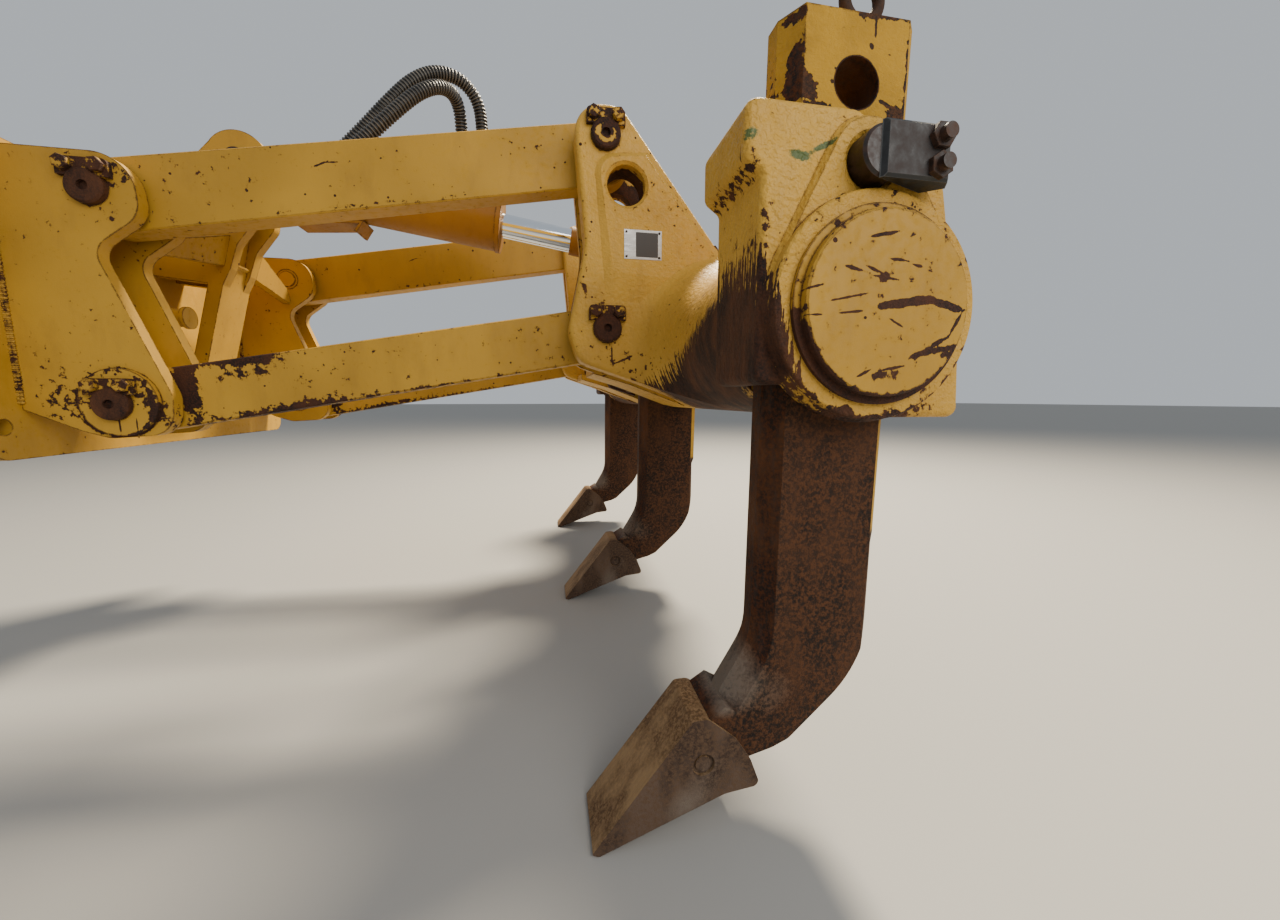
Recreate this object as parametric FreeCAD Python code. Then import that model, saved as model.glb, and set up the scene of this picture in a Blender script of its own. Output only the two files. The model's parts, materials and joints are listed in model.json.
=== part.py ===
"""Three-shank parallelogram ripper for a crawler tractor, in millimetres.

+X points to the rear, away from the tractor, +Y to the tractor's right-hand side, +Z up.
The origin is the centre of the mounting face that bolts to the tractor's rear.
The ripper stands with its three tips on the ground and its beam level.
"""
import FreeCAD, Part
import math
import os
from FreeCAD import Vector

# Driving dimensions: linkage
ground_drop = 940            # mounting face centre above the ground
front_pin_x = 235            # front pins behind the mounting face
front_lower_pin_z = -223
pin_rise = 450               # upper pins above the lower pins, at both ends
link_length = 1100           # pin to pin, upper and lower links alike
link_slope = 9.75            # degrees, rear end up, as it stands
pin_diameter = 70
bore_clearance = 0.3         # radial, a pin in a moving link
tight_clearance = 0.2        # radial, a pin in the piece that holds it
open_pivot_clearance = 1.5   # radial, upper link on the beam's upper pin
pin_stand_out = 16           # pin ends beyond the outer plates
pin_edge = 4
pin_shoulder_radius = 27     # inner end
pin_shoulder_length = 5
pin_centre_radius = 10
pin_centre_depth = 9

# Driving dimensions: tractor bracket
back_plate_thickness = 60
back_plate_half_width = 545
back_plate_top = 330
back_plate_bottom = -340
clevis_centre = 394          # middle of each link, either side of the middle plane
clevis_gap = 88              # between the two plates that hold a link
side_plate_thickness = 30
mount_bolt_radius = 17
mount_bolt_rows = (-270, 0, 270)
mount_bolt_edge = 35         # outer bolts from the back plate's edge
mount_bolt_inner = 250
post_half_width = 65
post_depth = 39
post_rear_x = 205.6          # the post's rear face at the height of the origin
post_lean = 0.27             # rearwards for each millimetre up
base_lug_thickness = 33

# Driving dimensions: links
upper_link_height = 154
lower_link_height = 138
link_thickness = 66
link_boss_gap = 3            # each side of a link's boss
link_edge = 3                # broken edges of the bars

# Driving dimensions: beam
tube_radius = 160
tube_offset_x = 309          # tube centre from the rear lower pin
tube_offset_z = -45
outer_ear_thickness = 76
inner_ear_thickness = 45
shank_spacing = 1000
pocket_half_width = 100
pocket_box_set_in = 12       # the cast box inside the ends of the tube that stands out of it
pocket_boss_height = 12      # raised boss that joins the shank pin's hole to the tube
cap_flange_inset = 23        # cap's flange inside the tube's radius
cap_flange_thickness = 8
cap_disc_inset = 34
cap_thickness = 24
cap_seat = 16                # the tube stands out of the outer pockets by this

# Driving dimensions: shanks and tips
shank_thickness = 110
shank_front = -133           # from the tube centre, at the bend
shank_rear = 74              # at the step
shank_top = 418
shank_lean = 13              # rearwards at the top, front and rear edges alike
shank_clearance = 2
shank_pin_diameter = 70
shank_pin_x = -13
shank_pin_above_tube = 39    # shank pin's centre above the top of the tube
shank_hole_pitch = 126
tip_width = 120
tip_pin_diameter = 26

# Driving dimensions: lift cylinder
base_pin_forward = 73        # base pin from the front upper pin
base_pin_up = 245
eye_offset_x = 51            # rod eye pin from the rear lower pin
eye_offset_z = 347
barrel_radius = 84
bore_radius = 60
rod_radius = 38
rod_running_clearance = 0.1
rod_exposed = 241            # chrome that shows between the gland and the rod eye's neck
rod_hidden = 222
eye_neck_length = 111.4      # from the neck's end to the eye's centre
cylinder_pin_diameter = 60
lug_inner = 62
eye_half_width = 56
base_eye_clearance = 4       # each side of the barrel's base eye
hose_radius = 21

# Worked out from the driving dimensions
slope = math.radians(link_slope)
front_upper_pin_z = front_lower_pin_z + pin_rise
rear_pin_x = front_pin_x + link_length * math.cos(slope)
rear_lower_pin_z = front_lower_pin_z + link_length * math.sin(slope)
rear_upper_pin_z = rear_lower_pin_z + pin_rise
tube_x = rear_pin_x + tube_offset_x
tube_z = rear_lower_pin_z + tube_offset_z
pin_radius = pin_diameter / 2
gap_inner = clevis_centre - clevis_gap / 2
gap_outer = clevis_centre + clevis_gap / 2
plate_outer = gap_outer + side_plate_thickness
plate_inner = gap_inner - side_plate_thickness
ear_outer = gap_outer + outer_ear_thickness
ear_inner = gap_inner - inner_ear_thickness
base_x = front_pin_x + base_pin_forward
base_z = front_upper_pin_z + base_pin_up
eye_x = rear_pin_x + eye_offset_x
eye_z = rear_lower_pin_z + eye_offset_z
cylinder_length = math.hypot(eye_x - base_x, eye_z - base_z)
cylinder_slope = math.degrees(math.atan2(eye_z - base_z, eye_x - base_x))
mount_bolt_outer = back_plate_half_width - mount_bolt_edge
base_lug_inner = post_half_width - base_lug_thickness
base_eye_half_width = base_lug_inner - base_eye_clearance
shank_pin_z = tube_radius + shank_pin_above_tube
pocket_outer_face = shank_spacing + pocket_half_width
pocket_box_half_width = pocket_half_width - pocket_box_set_in
tube_end = pocket_outer_face + cap_seat
ground_z = -ground_drop
sides = (("left", -1), ("right", 1))
stations = (("left", -shank_spacing), ("middle", 0), ("right", shank_spacing))

os.makedirs("parts", exist_ok=True)


def save(node, shape):
    shape.exportStep("parts/" + node + ".step")


def joined(shapes):
    """One solid from several that touch or overlap."""
    whole = shapes[0]
    if len(shapes) > 1:
        whole = whole.fuse(shapes[1:])
    return whole.removeSplitter()


def outline(corners, y=0.0):
    """Closed wire in the plane of one y. Each corner is (x, z) or (x, z, radius)."""
    count = len(corners)
    places = [Vector(corner[0], y, corner[1]) for corner in corners]
    edges = []
    ends = []
    for i in range(count):
        here = places[i]
        radius = corners[i][2] if len(corners[i]) > 2 else 0
        if not radius:
            ends.append((here, here, None))
            continue
        back = (places[i - 1] - here).normalize()
        ahead = (places[(i + 1) % count] - here).normalize()
        half = back.getAngle(ahead) / 2
        reach = radius / math.tan(half)
        middle = (back + ahead).normalize()
        top = here + middle * (radius / math.sin(half) - radius)
        ends.append((here + back * reach, here + ahead * reach, top))
    for i in range(count):
        first, last, top = ends[i]
        if top is not None:
            edges.append(Part.Arc(first, top, last).toShape())
        following = ends[(i + 1) % count][0]
        if last.distanceToPoint(following) > 1e-6:
            edges.append(Part.LineSegment(last, following).toShape())
    return Part.Wire(Part.__sortEdges__(edges))


def plate(corners, y_low, y_high):
    """Flat plate across Y from its outline in X and Z."""
    face = Part.Face(outline(corners, y_low))
    return face.extrude(Vector(0, y_high - y_low, 0))


def box(x_low, x_high, y_low, y_high, z_low, z_high):
    size = (x_high - x_low, y_high - y_low, z_high - z_low)
    return Part.makeBox(*size, Vector(x_low, y_low, z_low))


def disc(radius, y_low, y_high, x, z):
    """Round bar or bore along Y."""
    return Part.makeCylinder(radius, y_high - y_low, Vector(x, y_low, z), Vector(0, 1, 0))


def moved(corners, x, z):
    """The same corners about another point."""
    return [(corner[0] + x, corner[1] + z) + tuple(corner[2:]) for corner in corners]


def between(side, near, far):
    """Low and high y of a band on one side of the middle plane."""
    return (near, far) if side > 0 else (-far, -near)


def round_edges(shape, radius, wanted):
    """Round the edges for which wanted says yes, and leave the rest sharp."""
    edges = [edge for edge in shape.Edges if wanted(edge)]
    return shape.makeFillet(radius, edges)


def lies_at(y):
    """Test for the edges of the flat face at one y."""
    return lambda edge: max(abs(edge.BoundBox.YMin - y), abs(edge.BoundBox.YMax - y)) < 1e-3


def drafted(wire_low, wire_high):
    """Cast pad with sloping sides between two like outlines."""
    return Part.makeLoft([wire_low, wire_high], True, True)


def arc_about(centre, radius, first, last):
    """Short arc about a centre, from one point to another."""
    middle = centre + ((first - centre).normalize() + (last - centre).normalize()).normalize() * radius
    return Part.Arc(first, middle, last).toShape()


# Tractor bracket

side_plate_outline = [
    (back_plate_thickness, 301),
    (front_pin_x + 78, 301, 76),
    (front_pin_x + 86, 178, 60),
    (front_pin_x - 9, 106, 42),
    (front_pin_x + 104, -205, 60),
    (front_pin_x + 98, -292, 52),
    (front_pin_x - 25, -299, 60),
    (front_pin_x - 75, -282, 30),
    (back_plate_thickness, -235),
]


def side_plate(y_low, y_high, stand_out_side):
    """Clevis plate with both front pin bores, and a raised boss round the lower one outside."""
    shape = plate(side_plate_outline, y_low, y_high)
    if stand_out_side:
        boss_low, boss_high = between(stand_out_side, plate_outer, plate_outer + 12)
        shape = joined([shape, disc(74, boss_low, boss_high, front_pin_x + 8, front_lower_pin_z + 4)])
    for z in (front_lower_pin_z, front_upper_pin_z):
        bore = disc(pin_radius + tight_clearance, y_low - 20, y_high + 20, front_pin_x, z)
        shape = shape.cut(bore)
    return shape


stop_length = 168
stop_y = -200
stop_z = 4
stop_radius = 24
stop_collar_radius = 29
stop_collar_length = 10


def mount_back_plate():
    """Plate that bolts to the tractor, with a short round stop on its rear face."""
    shape = box(0, back_plate_thickness, -back_plate_half_width, back_plate_half_width,
                back_plate_bottom, back_plate_top)
    shape = round_edges(shape, 40, lambda e: abs(e.tangentAt(e.FirstParameter).x) > 0.99)
    for z in mount_bolt_rows:
        for y in (-mount_bolt_outer, -mount_bolt_inner, mount_bolt_inner, mount_bolt_outer):
            hole = Part.makeCylinder(mount_bolt_radius, back_plate_thickness + 2,
                                     Vector(-1, y, z), Vector(1, 0, 0))
            shape = shape.cut(hole)
    low, high = back_plate_thickness - 1, back_plate_thickness + stop_length
    stop = [shape]
    for radius, near in ((stop_radius, low), (stop_collar_radius, high - stop_collar_length)):
        stop.append(Part.makeCylinder(radius, high - near, Vector(near, stop_y, stop_z), Vector(1, 0, 0)))
    return joined(stop)


seam_z = 188                 # the post opens into two lugs above this


def post_x(z):
    """Rear face of the leaning post."""
    return post_rear_x + post_lean * z


column_outline = [
    (back_plate_thickness, -170),
    (back_plate_thickness, -210),
    (post_x(-150), -150),
    (post_x(seam_z), seam_z),
    (post_x(seam_z) - post_depth, seam_z),
    (post_x(-132) - post_depth, -132),
]
web_recess = 12
web_top = 300
web_outline = [
    (post_x(seam_z) - post_depth, seam_z - 20),
    (post_x(seam_z) - web_recess, seam_z - 20),
    (post_x(web_top) - web_recess, web_top),
    (post_x(web_top) - post_depth, web_top),
]
bead_outline = [
    (post_x(seam_z) - web_recess, seam_z - 1),
    (post_x(seam_z) - 2, seam_z - 11),
    (post_x(seam_z) + 6, seam_z - 5),
    (post_x(seam_z) + 6, seam_z + 2),
    (post_x(seam_z) - web_recess, seam_z + 6),
]
lug_outline = [
    (back_plate_thickness, 140),
    (back_plate_thickness, 322),
    (base_x - 48, base_z + 64),
    (base_x, base_z),
    (base_x + 72, base_z - 30),
    (base_x + 44, base_z - 102),
    (base_x + 33, base_z - 162, 40),
    (base_x - 22, base_z - 234, 60),
    (post_x(seam_z - 20) + 11, seam_z - 20),
    (post_x(120), 120),
]
base_boss_radius = 80


def mount_post():
    """Leaning post that opens into the lift cylinder's two base lugs."""
    column = plate(column_outline, -post_half_width, post_half_width)
    web = plate(web_outline, -post_half_width, post_half_width)
    bead = plate(bead_outline, -post_half_width + 2, post_half_width - 2)
    lugs = []
    for name, side in sides:
        y_low, y_high = between(side, base_lug_inner, post_half_width)
        lug = plate(lug_outline, y_low, y_high)
        lugs.append(joined([lug, disc(base_boss_radius, y_low, y_high, base_x, base_z)]))
    shape = joined([column, web, bead] + lugs)
    pin_hole = disc(cylinder_pin_diameter / 2 + tight_clearance,
                    -post_half_width - 5, post_half_width + 5, base_x, base_z)
    return shape.cut(pin_hole)


deck_thickness = 24
deck_rear_x = 238            # at its lower edge
deck_low = 138
deck_high = 262


def mount_deck(side):
    """Gusset from the post to the inner side plate, deeper at the post."""
    lean = post_lean * (deck_high - deck_low)
    slab = plate([(deck_rear_x - deck_thickness, deck_low), (deck_rear_x, deck_low),
                  (deck_rear_x + lean, deck_high), (deck_rear_x + lean - deck_thickness, deck_high)],
                 *between(side, post_half_width, plate_inner))
    corners = [(post_half_width, deck_high), (plate_inner - 40, deck_low + 47),
               (plate_inner, deck_low + 12), (plate_inner, deck_low),
               (plate_inner - 120, deck_low + 19), (post_half_width, deck_low + 38)]
    points = [Vector(0, side * y, z) for y, z in corners]
    trim = Part.Face(Part.makePolygon(points + points[:1])).extrude(Vector(2 * deck_rear_x, 0, 0))
    return slab.common(trim)


# Links


def link(height, front_z, side, rear_clearance):
    """Flat forged bar with a boss and a bore at each end."""
    y_mid = side * clevis_centre
    half = link_thickness / 2
    radius = height / 2
    bar = box(0, link_length, y_mid - half, y_mid + half, -radius, radius)
    ends = [disc(radius, y_mid - half, y_mid + half, x, 0) for x in (0, link_length)]
    shape = joined([bar] + ends)
    outer = [e for e in shape.Edges if abs(e.BoundBox.YLength) < 1e-6]
    shape = shape.makeChamfer(link_edge, outer)
    boss_half = clevis_gap / 2 - link_boss_gap
    bosses = [disc(radius - 12, y_mid - boss_half, y_mid + boss_half, x, 0) for x in (0, link_length)]
    shape = joined([shape] + bosses)
    for x, clearance in ((0, bore_clearance), (link_length, rear_clearance)):
        shape = shape.cut(disc(pin_radius + clearance, y_mid - 60, y_mid + 60, x, 0))
    shape.rotate(Vector(0, 0, 0), Vector(0, 1, 0), -link_slope)
    shape.translate(Vector(front_pin_x, 0, front_z))
    return shape


# Pins and their keeper plates


def cross_pin(side, near, far, x, z):
    """Pin along Y with a shoulder inside, a lathe centre outside and a flat for the keeper plate."""
    pin = disc(pin_radius, *between(side, near, far + pin_stand_out), x, z)
    end = side * (far + pin_stand_out)
    pin = pin.makeChamfer(pin_edge, [e for e in pin.Edges if lies_at(end)(e)])
    shoulder = disc(pin_shoulder_radius, *between(side, near - pin_shoulder_length, near + 1), x, z)
    centre = disc(pin_centre_radius, *between(side, far + pin_stand_out - pin_centre_depth,
                                              far + pin_stand_out + 1), x, z)
    slot_low, slot_high = between(side, far, far + keeper_thickness + 1)
    slot = box(x - 60, x + 60, slot_low, slot_high, z + keeper_seat, z + 80)
    return joined([pin, shoulder]).cut(centre).cut(slot)


keeper_thickness = 12
keeper_seat = 19             # keeper's lower edge above the pin's centre
keeper_height = 36
keeper_half_width = 46


def keeper(side, face, x, z):
    """Bolted plate that locks a pin, with two bolt heads."""
    y_low, y_high = between(side, face, face + keeper_thickness)
    low = z + keeper_seat + 0.2
    bar = plate([(x - keeper_half_width, low), (x + keeper_half_width, low),
                 (x + keeper_half_width, low + keeper_height, 10),
                 (x - keeper_half_width, low + keeper_height, 10)], y_low, y_high)
    heads = []
    for shift in (-29, 29):
        head_low, head_high = between(side, face + keeper_thickness, face + keeper_thickness + 11)
        heads.append(disc(13, head_low, head_high, x + shift, low + 21))
    return joined([bar] + heads)


# Beam

ear_outline = [
    (-78, 522, 66),
    (38, 522, 56),
    (290, 206, 30),
    (tube_offset_x, tube_offset_z + 20),
    (252, -197),
    (86, -135, 80),
    (-74, -82, 50),
    (-97, -5, 60),
    (-52, 200, 180),
]
access_hole = (49, 340, 47)  # x and z from the rear lower pin, radius
access_hole_edge = 7
ear_round = 12
panel_height = 9
panel_rim = [
    (-4, 70, 30),
    (-31, 408, 50),
    (102, 421, 16),
    (277, 198, 24),
    (292, 40, 10),
]
panel_face = [
    (14, 140, 30),
    (-19, 397, 40),
    (96, 409, 12),
    (262, 196, 20),
    (272, 110, 10),
]
flare_reach = 102            # of the flare up the ear's face, beyond the tube
flare_length = 200           # of the flare along the tube
flare_tight = 60             # its smaller radius, next to the ear
flare_sink = 0.5             # both ends run out this far under the surface


def ear(side, near, far, face):
    """Cast ear with the edges of one face rounded."""
    y_low, y_high = between(side, near, far)
    shape = plate(moved(ear_outline, rear_pin_x, rear_lower_pin_z), y_low, y_high)
    return round_edges(shape, ear_round, lies_at(side * face))


def ear_panel(side):
    """Raised panel cast on the outer ear, running out to nothing at its foot."""
    low = outline(moved(panel_rim, rear_pin_x, rear_lower_pin_z), side * (ear_outer - 0.5))
    high = outline(moved(panel_face, rear_pin_x, rear_lower_pin_z), side * (ear_outer + panel_height))
    return drafted(low, high)


def ear_flare(side):
    """Hollow sweep of the casting from the outer ear's face down to the torsion tube."""
    reach = flare_reach + flare_sink
    run = flare_length + flare_sink
    wide = (reach ** 2 + (run - flare_tight) ** 2 - flare_tight ** 2) / (2 * (reach - flare_tight))

    def at(radius, along):
        return Vector(tube_x - radius, side * (ear_outer + along), tube_z)

    ear_end = at(tube_radius + flare_reach, -flare_sink)
    ear_centre = at(tube_radius + flare_reach, flare_tight - flare_sink)
    tube_end_point = at(tube_radius - flare_sink, flare_length)
    tube_centre = at(tube_radius - flare_sink + wide, flare_length)
    meeting = ear_centre + (ear_centre - tube_centre).normalize() * flare_tight
    inside_end = at(tube_radius - 30, flare_length)
    inside_start = at(tube_radius - 30, -flare_sink)
    profile = Part.Wire([
        arc_about(ear_centre, flare_tight, ear_end, meeting),
        arc_about(tube_centre, wide, meeting, tube_end_point),
        Part.LineSegment(tube_end_point, inside_end).toShape(),
        Part.LineSegment(inside_end, inside_start).toShape(),
        Part.LineSegment(inside_start, ear_end).toShape(),
    ])
    sweep = Part.Face(profile).revolve(Vector(tube_x, 0, tube_z), Vector(0, 1, 0), 360)
    y_low, y_high = between(side, ear_outer - 2, ear_outer + flare_length + 2)
    return sweep.common(plate(moved(ear_outline, rear_pin_x, rear_lower_pin_z), y_low, y_high))


floor_outline = [
    (252, -197),
    (86, -135),
    (-20, -104),
    (-20, -82),
    (92, -112),
    (250, -172),
]


def beam_half(side):
    """Torsion tube with the two ears that hold an upper and a lower link."""
    y_low, y_high = between(side, pocket_half_width, shank_spacing - pocket_half_width)
    tube = disc(tube_radius, y_low, y_high, tube_x, tube_z)
    outer = joined([ear(side, gap_outer, ear_outer, ear_outer), ear_panel(side), ear_flare(side)])
    inner = ear(side, ear_inner, gap_inner, ear_inner)
    floor_low, floor_high = between(side, pocket_half_width, gap_inner)
    floor = plate(moved(floor_outline, rear_pin_x, rear_lower_pin_z), floor_low, floor_high)
    shape = joined([tube, outer, inner, floor])
    low, high = between(side, ear_inner - 5, ear_outer + panel_height + 5)
    hole_x, hole_z, hole_radius = access_hole
    hole_x += rear_pin_x
    hole_z += rear_lower_pin_z
    shape = shape.cut(disc(hole_radius, low, high, hole_x, hole_z))
    mouth = Part.makeCone(hole_radius, hole_radius + 2 * access_hole_edge, 2 * access_hole_edge,
                          Vector(hole_x, side * (ear_outer + panel_height - access_hole_edge), hole_z),
                          Vector(0, side, 0))
    shape = shape.cut(mouth)
    for z in (rear_lower_pin_z, rear_upper_pin_z):
        shape = shape.cut(disc(pin_radius + tight_clearance, low, high, rear_pin_x, z))
    return shape


bend_z = -535                # the shank's front edge bends forward here, from the tube centre
bend_radius = 150
step_z = -353                # the shank is thinner fore and aft below this


def front_edge(z):
    """The shank's leaning front edge, as x from the tube centre."""
    return shank_front + shank_lean * (z - bend_z) / (shank_top - bend_z)


def rear_edge(z):
    """The shank's leaning rear edge above its step."""
    return shank_rear + shank_lean * (z - step_z) / (shank_top - step_z)


pocket_front = tube_radius + 10
pocket_head_front = tube_radius + 36
pocket_round = 12
pocket_outline = [
    (-pocket_front, -108, 16),
    (-pocket_front, shank_pin_z - 22, 12),
    (-pocket_head_front, shank_pin_z - 4, 16),
    (-pocket_head_front, shank_pin_z + 75, 22),
    (-27, shank_pin_z + 75, 30),
    (120, shank_pin_z - 9, 30),
    (171, -55, 20),
    (178, -158, 16),
    (60, -158),
    (60, -108),
]
pocket_slot_reach = 200      # of the shank's slot below the tube's centre
pin_boss_radius = 58
pin_mouth_edge = 6
ring_round = 6


def boss_outline(small, large, y):
    """Outline round the shank pin's hole and the tube, two arcs joined by their tangents."""
    distance = math.hypot(shank_pin_x, shank_pin_z)
    heading = math.atan2(shank_pin_z, shank_pin_x)
    spread = math.acos((large - small) / distance)
    edges = []
    ends = []
    for x, z, radius, turn in ((shank_pin_x, shank_pin_z, small, 0), (0, 0, large, math.pi)):
        arc = []
        for angle in (heading - spread, heading + turn, heading + spread):
            arc.append(Vector(tube_x + x + radius * math.cos(angle), y,
                              tube_z + z + radius * math.sin(angle)))
        edges.append(Part.Arc(*arc).toShape())
        ends.append(arc)
    for tip in (0, 2):
        edges.append(Part.LineSegment(ends[0][tip], ends[1][tip]).toShape())
    return Part.Wire(Part.__sortEdges__(edges))


def shank_pocket(y_mid):
    """Cast box that a shank slides through, with the end of the torsion tube in it."""
    y_low, y_high = y_mid - pocket_box_half_width, y_mid + pocket_box_half_width
    body = plate(moved(pocket_outline, tube_x, tube_z), y_low, y_high)
    corners = [e for e in body.Edges if (lies_at(y_low)(e) or lies_at(y_high)(e))
               and e.BoundBox.ZMin > tube_z - 108 + 1 and e.BoundBox.XMin < tube_x + 160]
    body = body.makeFillet(pocket_round, corners)
    tube_low, tube_high = y_mid - pocket_half_width, y_mid + pocket_half_width
    pieces = [body]
    if y_mid:
        side = 1 if y_mid > 0 else -1
        face = y_mid + side * pocket_box_half_width
        top = face + side * pocket_boss_height
        pieces.append(drafted(boss_outline(pin_boss_radius + 7, tube_radius + 5, face - side),
                              boss_outline(pin_boss_radius, tube_radius - 2, top)))
        if side > 0:
            tube_high = tube_end
        else:
            tube_low = -tube_end
    tube = disc(tube_radius, tube_low, tube_high, tube_x, tube_z)
    if y_mid:
        tube = round_edges(tube, ring_round, lies_at(side * tube_end))
    pieces.append(tube)
    shape = joined(pieces)
    if not y_mid:
        shape = joined([shape] + beam_cylinder_lugs())
    half = shank_thickness / 2 + shank_clearance
    slot_outline = []
    for z in (-pocket_slot_reach, shank_top):
        slot_outline.append((front_edge(z) - shank_clearance, z))
        slot_outline.insert(0, (rear_edge(z) + shank_clearance, z))
    shape = shape.cut(plate(moved(slot_outline, tube_x, tube_z), y_mid - half, y_mid + half))
    pin_x, pin_z = tube_x + shank_pin_x, tube_z + shank_pin_z
    bore = shank_pin_diameter / 2 + tight_clearance
    shape = shape.cut(disc(bore, y_low - 30, y_high + 30, pin_x, pin_z))
    if y_mid:
        mouth = Part.makeCone(bore, bore + 2 * pin_mouth_edge, 2 * pin_mouth_edge,
                              Vector(pin_x, face + side * (pocket_boss_height - pin_mouth_edge), pin_z),
                              Vector(0, side, 0))
        shape = shape.cut(mouth)
    return shape


beam_lug_outline = [
    (tube_offset_x - 190, 215),
    (tube_offset_x - 150, 215),
    (tube_offset_x - 150, -60),
    (180, -165),
    (86, -135),
    (66, -100),
    (96, 90),
    (eye_offset_x - 62, eye_offset_z - 55),
    (eye_offset_x - 60, eye_offset_z + 10),
    (eye_offset_x + 40, eye_offset_z + 45),
]


def beam_cylinder_lugs():
    """Two lugs on the middle pocket that hold the ends of the rod eye's pin."""
    lugs = []
    for name, side in sides:
        y_low, y_high = between(side, lug_inner, pocket_half_width)
        lug = plate(moved(beam_lug_outline, rear_pin_x, rear_lower_pin_z), y_low, y_high)
        head = disc(62, y_low, y_high, eye_x, eye_z)
        lug = joined([lug, head])
        lugs.append(lug.cut(disc(cylinder_pin_diameter / 2 + tight_clearance, -150, 150, eye_x, eye_z)))
    return lugs


cap_edge = 3


def end_cap(side):
    """Cover on the tube's end: a thin flange with a thicker disc on it."""
    y_low, y_high = between(side, tube_end, tube_end + cap_thickness)
    cap = disc(tube_radius - cap_disc_inset, y_low, y_high, tube_x, tube_z)
    outer = side * (tube_end + cap_thickness)
    cap = cap.makeChamfer(cap_edge, [e for e in cap.Edges if lies_at(outer)(e)])
    y_low, y_high = between(side, tube_end, tube_end + cap_flange_thickness)
    return joined([cap, disc(tube_radius - cap_flange_inset, y_low, y_high, tube_x, tube_z)])


# Shanks

front_chamfer_side = 23      # of the front edges' bevel, along the shank's sides
front_chamfer_front = 40     # and across its front
bevel_overrun = 5            # of the bevel's cutter above the shank's top
rear_chamfer = 18
rear_chamfer_foot = -600
toe = (-190, -630)           # where the front edge meets the tip
shank_outline = [
    (front_edge(shank_top), shank_top),
    (rear_edge(shank_top), shank_top),
    (shank_rear, step_z, 6),
    (shank_rear - 10, step_z - 16, 10),
    (shank_rear - 10, -576, 200),
    (-76, -703, 30),
    (-105, -715),
    (-152, -726),
    (-230, -655),
    toe,
    (shank_front, bend_z, bend_radius),
]
nose_half_width = 36
nose_clearance = 0.4         # all round the nose in its socket
nose_outline = [
    (-152, -726),
    (-300, -785, 10),
    (-316, -772, 10),
    (-230, -655),
    (-190, -690),
]


def front_bevel(y, inwards):
    """Triangle swept down the shank's front edge and round its bend, for cutting."""
    top = Vector(tube_x + front_edge(shank_top), y, tube_z + shank_top)
    bend = Vector(tube_x + shank_front, y, tube_z + bend_z)
    foot = Vector(tube_x + toe[0], y, tube_z + toe[1])
    back = (top - bend).normalize()
    start = top + back * bevel_overrun
    ahead = (foot - bend).normalize()
    half = back.getAngle(ahead) / 2
    reach = bend_radius / math.tan(half)
    first = bend + back * reach
    last = bend + ahead * reach
    middle = bend + (back + ahead).normalize() * (bend_radius / math.sin(half) - bend_radius)
    path = Part.Wire([Part.LineSegment(start, first).toShape(), Part.Arc(first, middle, last).toShape(),
                      Part.LineSegment(last, foot).toShape()])
    square = Vector(0, 1, 0).cross(back).normalize()
    corner = [start, start + square * front_chamfer_side, start + Vector(0, inwards * front_chamfer_front, 0)]
    return path.makePipeShell([Part.makePolygon(corner + corner[:1])], True, True)


def rear_bevel(y, inwards):
    """Triangle swept down the shank's rear edge, for cutting."""
    foot = Vector(tube_x + rear_edge(rear_chamfer_foot), y, tube_z + rear_chamfer_foot)
    top = Vector(tube_x + rear_edge(shank_top), y, tube_z + shank_top)
    corner = [foot, foot - Vector(rear_chamfer, 0, 0), foot + Vector(0, inwards * rear_chamfer, 0)]
    return Part.Face(Part.makePolygon(corner + corner[:1])).extrude((top - foot) * 1.01)


def shank(y_mid):
    """Curved shank with its nose, on which the tip seats."""
    half = shank_thickness / 2
    body = plate(moved(shank_outline, tube_x, tube_z), y_mid - half, y_mid + half)
    for face in (-1, 1):
        body = body.cut(front_bevel(y_mid + face * half, -face))
        body = body.cut(rear_bevel(y_mid + face * half, -face))
    nose = plate(moved(nose_outline, tube_x, tube_z), y_mid - nose_half_width, y_mid + nose_half_width)
    shape = joined([body, nose])
    holes = [(shank_pin_diameter, shank_pin_x, shank_pin_z),
             (shank_pin_diameter, shank_pin_x, shank_pin_z + shank_hole_pitch),
             (tip_pin_diameter, tip_pin_x, tip_pin_z)]
    for diameter, x, z in holes:
        shape = shape.cut(disc(diameter / 2 + tight_clearance, y_mid - shank_thickness,
                               y_mid + shank_thickness, tube_x + x, tube_z + z))
    return shape


tip_pin_x = -228
tip_pin_z = -724
tip_recess_radius = 19
tip_recess_depth = 6
cheek_clearance = 0.3        # the tip's cheeks beside the shank
tip_outline = [
    (-247, -645, 8),
    (-222, -644, 20),
    (-172, -686, 30),
    (-146, -726, 30),
    (-127, -777, 10),
    (-190, -783, 40),
    (-400, ground_z - tube_z, 3),
    (-413, ground_z - tube_z + 5, 3),
]


def ripper_tip(y_mid):
    """Cast tip with a socket over the shank's nose."""
    half = tip_width / 2
    shape = plate(moved(tip_outline, tube_x, tube_z), y_mid - half, y_mid + half)
    reach = nose_half_width + nose_clearance
    socket = plate(moved(nose_outline, tube_x, tube_z), y_mid - reach, y_mid + reach)
    shape = shape.cut(socket.makeOffsetShape(nose_clearance, 0.01))
    reach = shank_thickness / 2 + cheek_clearance
    shape = shape.cut(plate(moved(shank_outline, tube_x, tube_z), y_mid - reach, y_mid + reach))
    shape = shape.cut(disc(tip_pin_diameter / 2 + tight_clearance, y_mid - tip_width, y_mid + tip_width,
                           tube_x + tip_pin_x, tube_z + tip_pin_z))
    for face in (-1, 1):
        low, high = sorted((y_mid + face * (half - tip_recess_depth), y_mid + face * (half + 1)))
        shape = shape.cut(disc(tip_recess_radius, low, high, tube_x + tip_pin_x, tube_z + tip_pin_z))
    return shape


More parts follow.
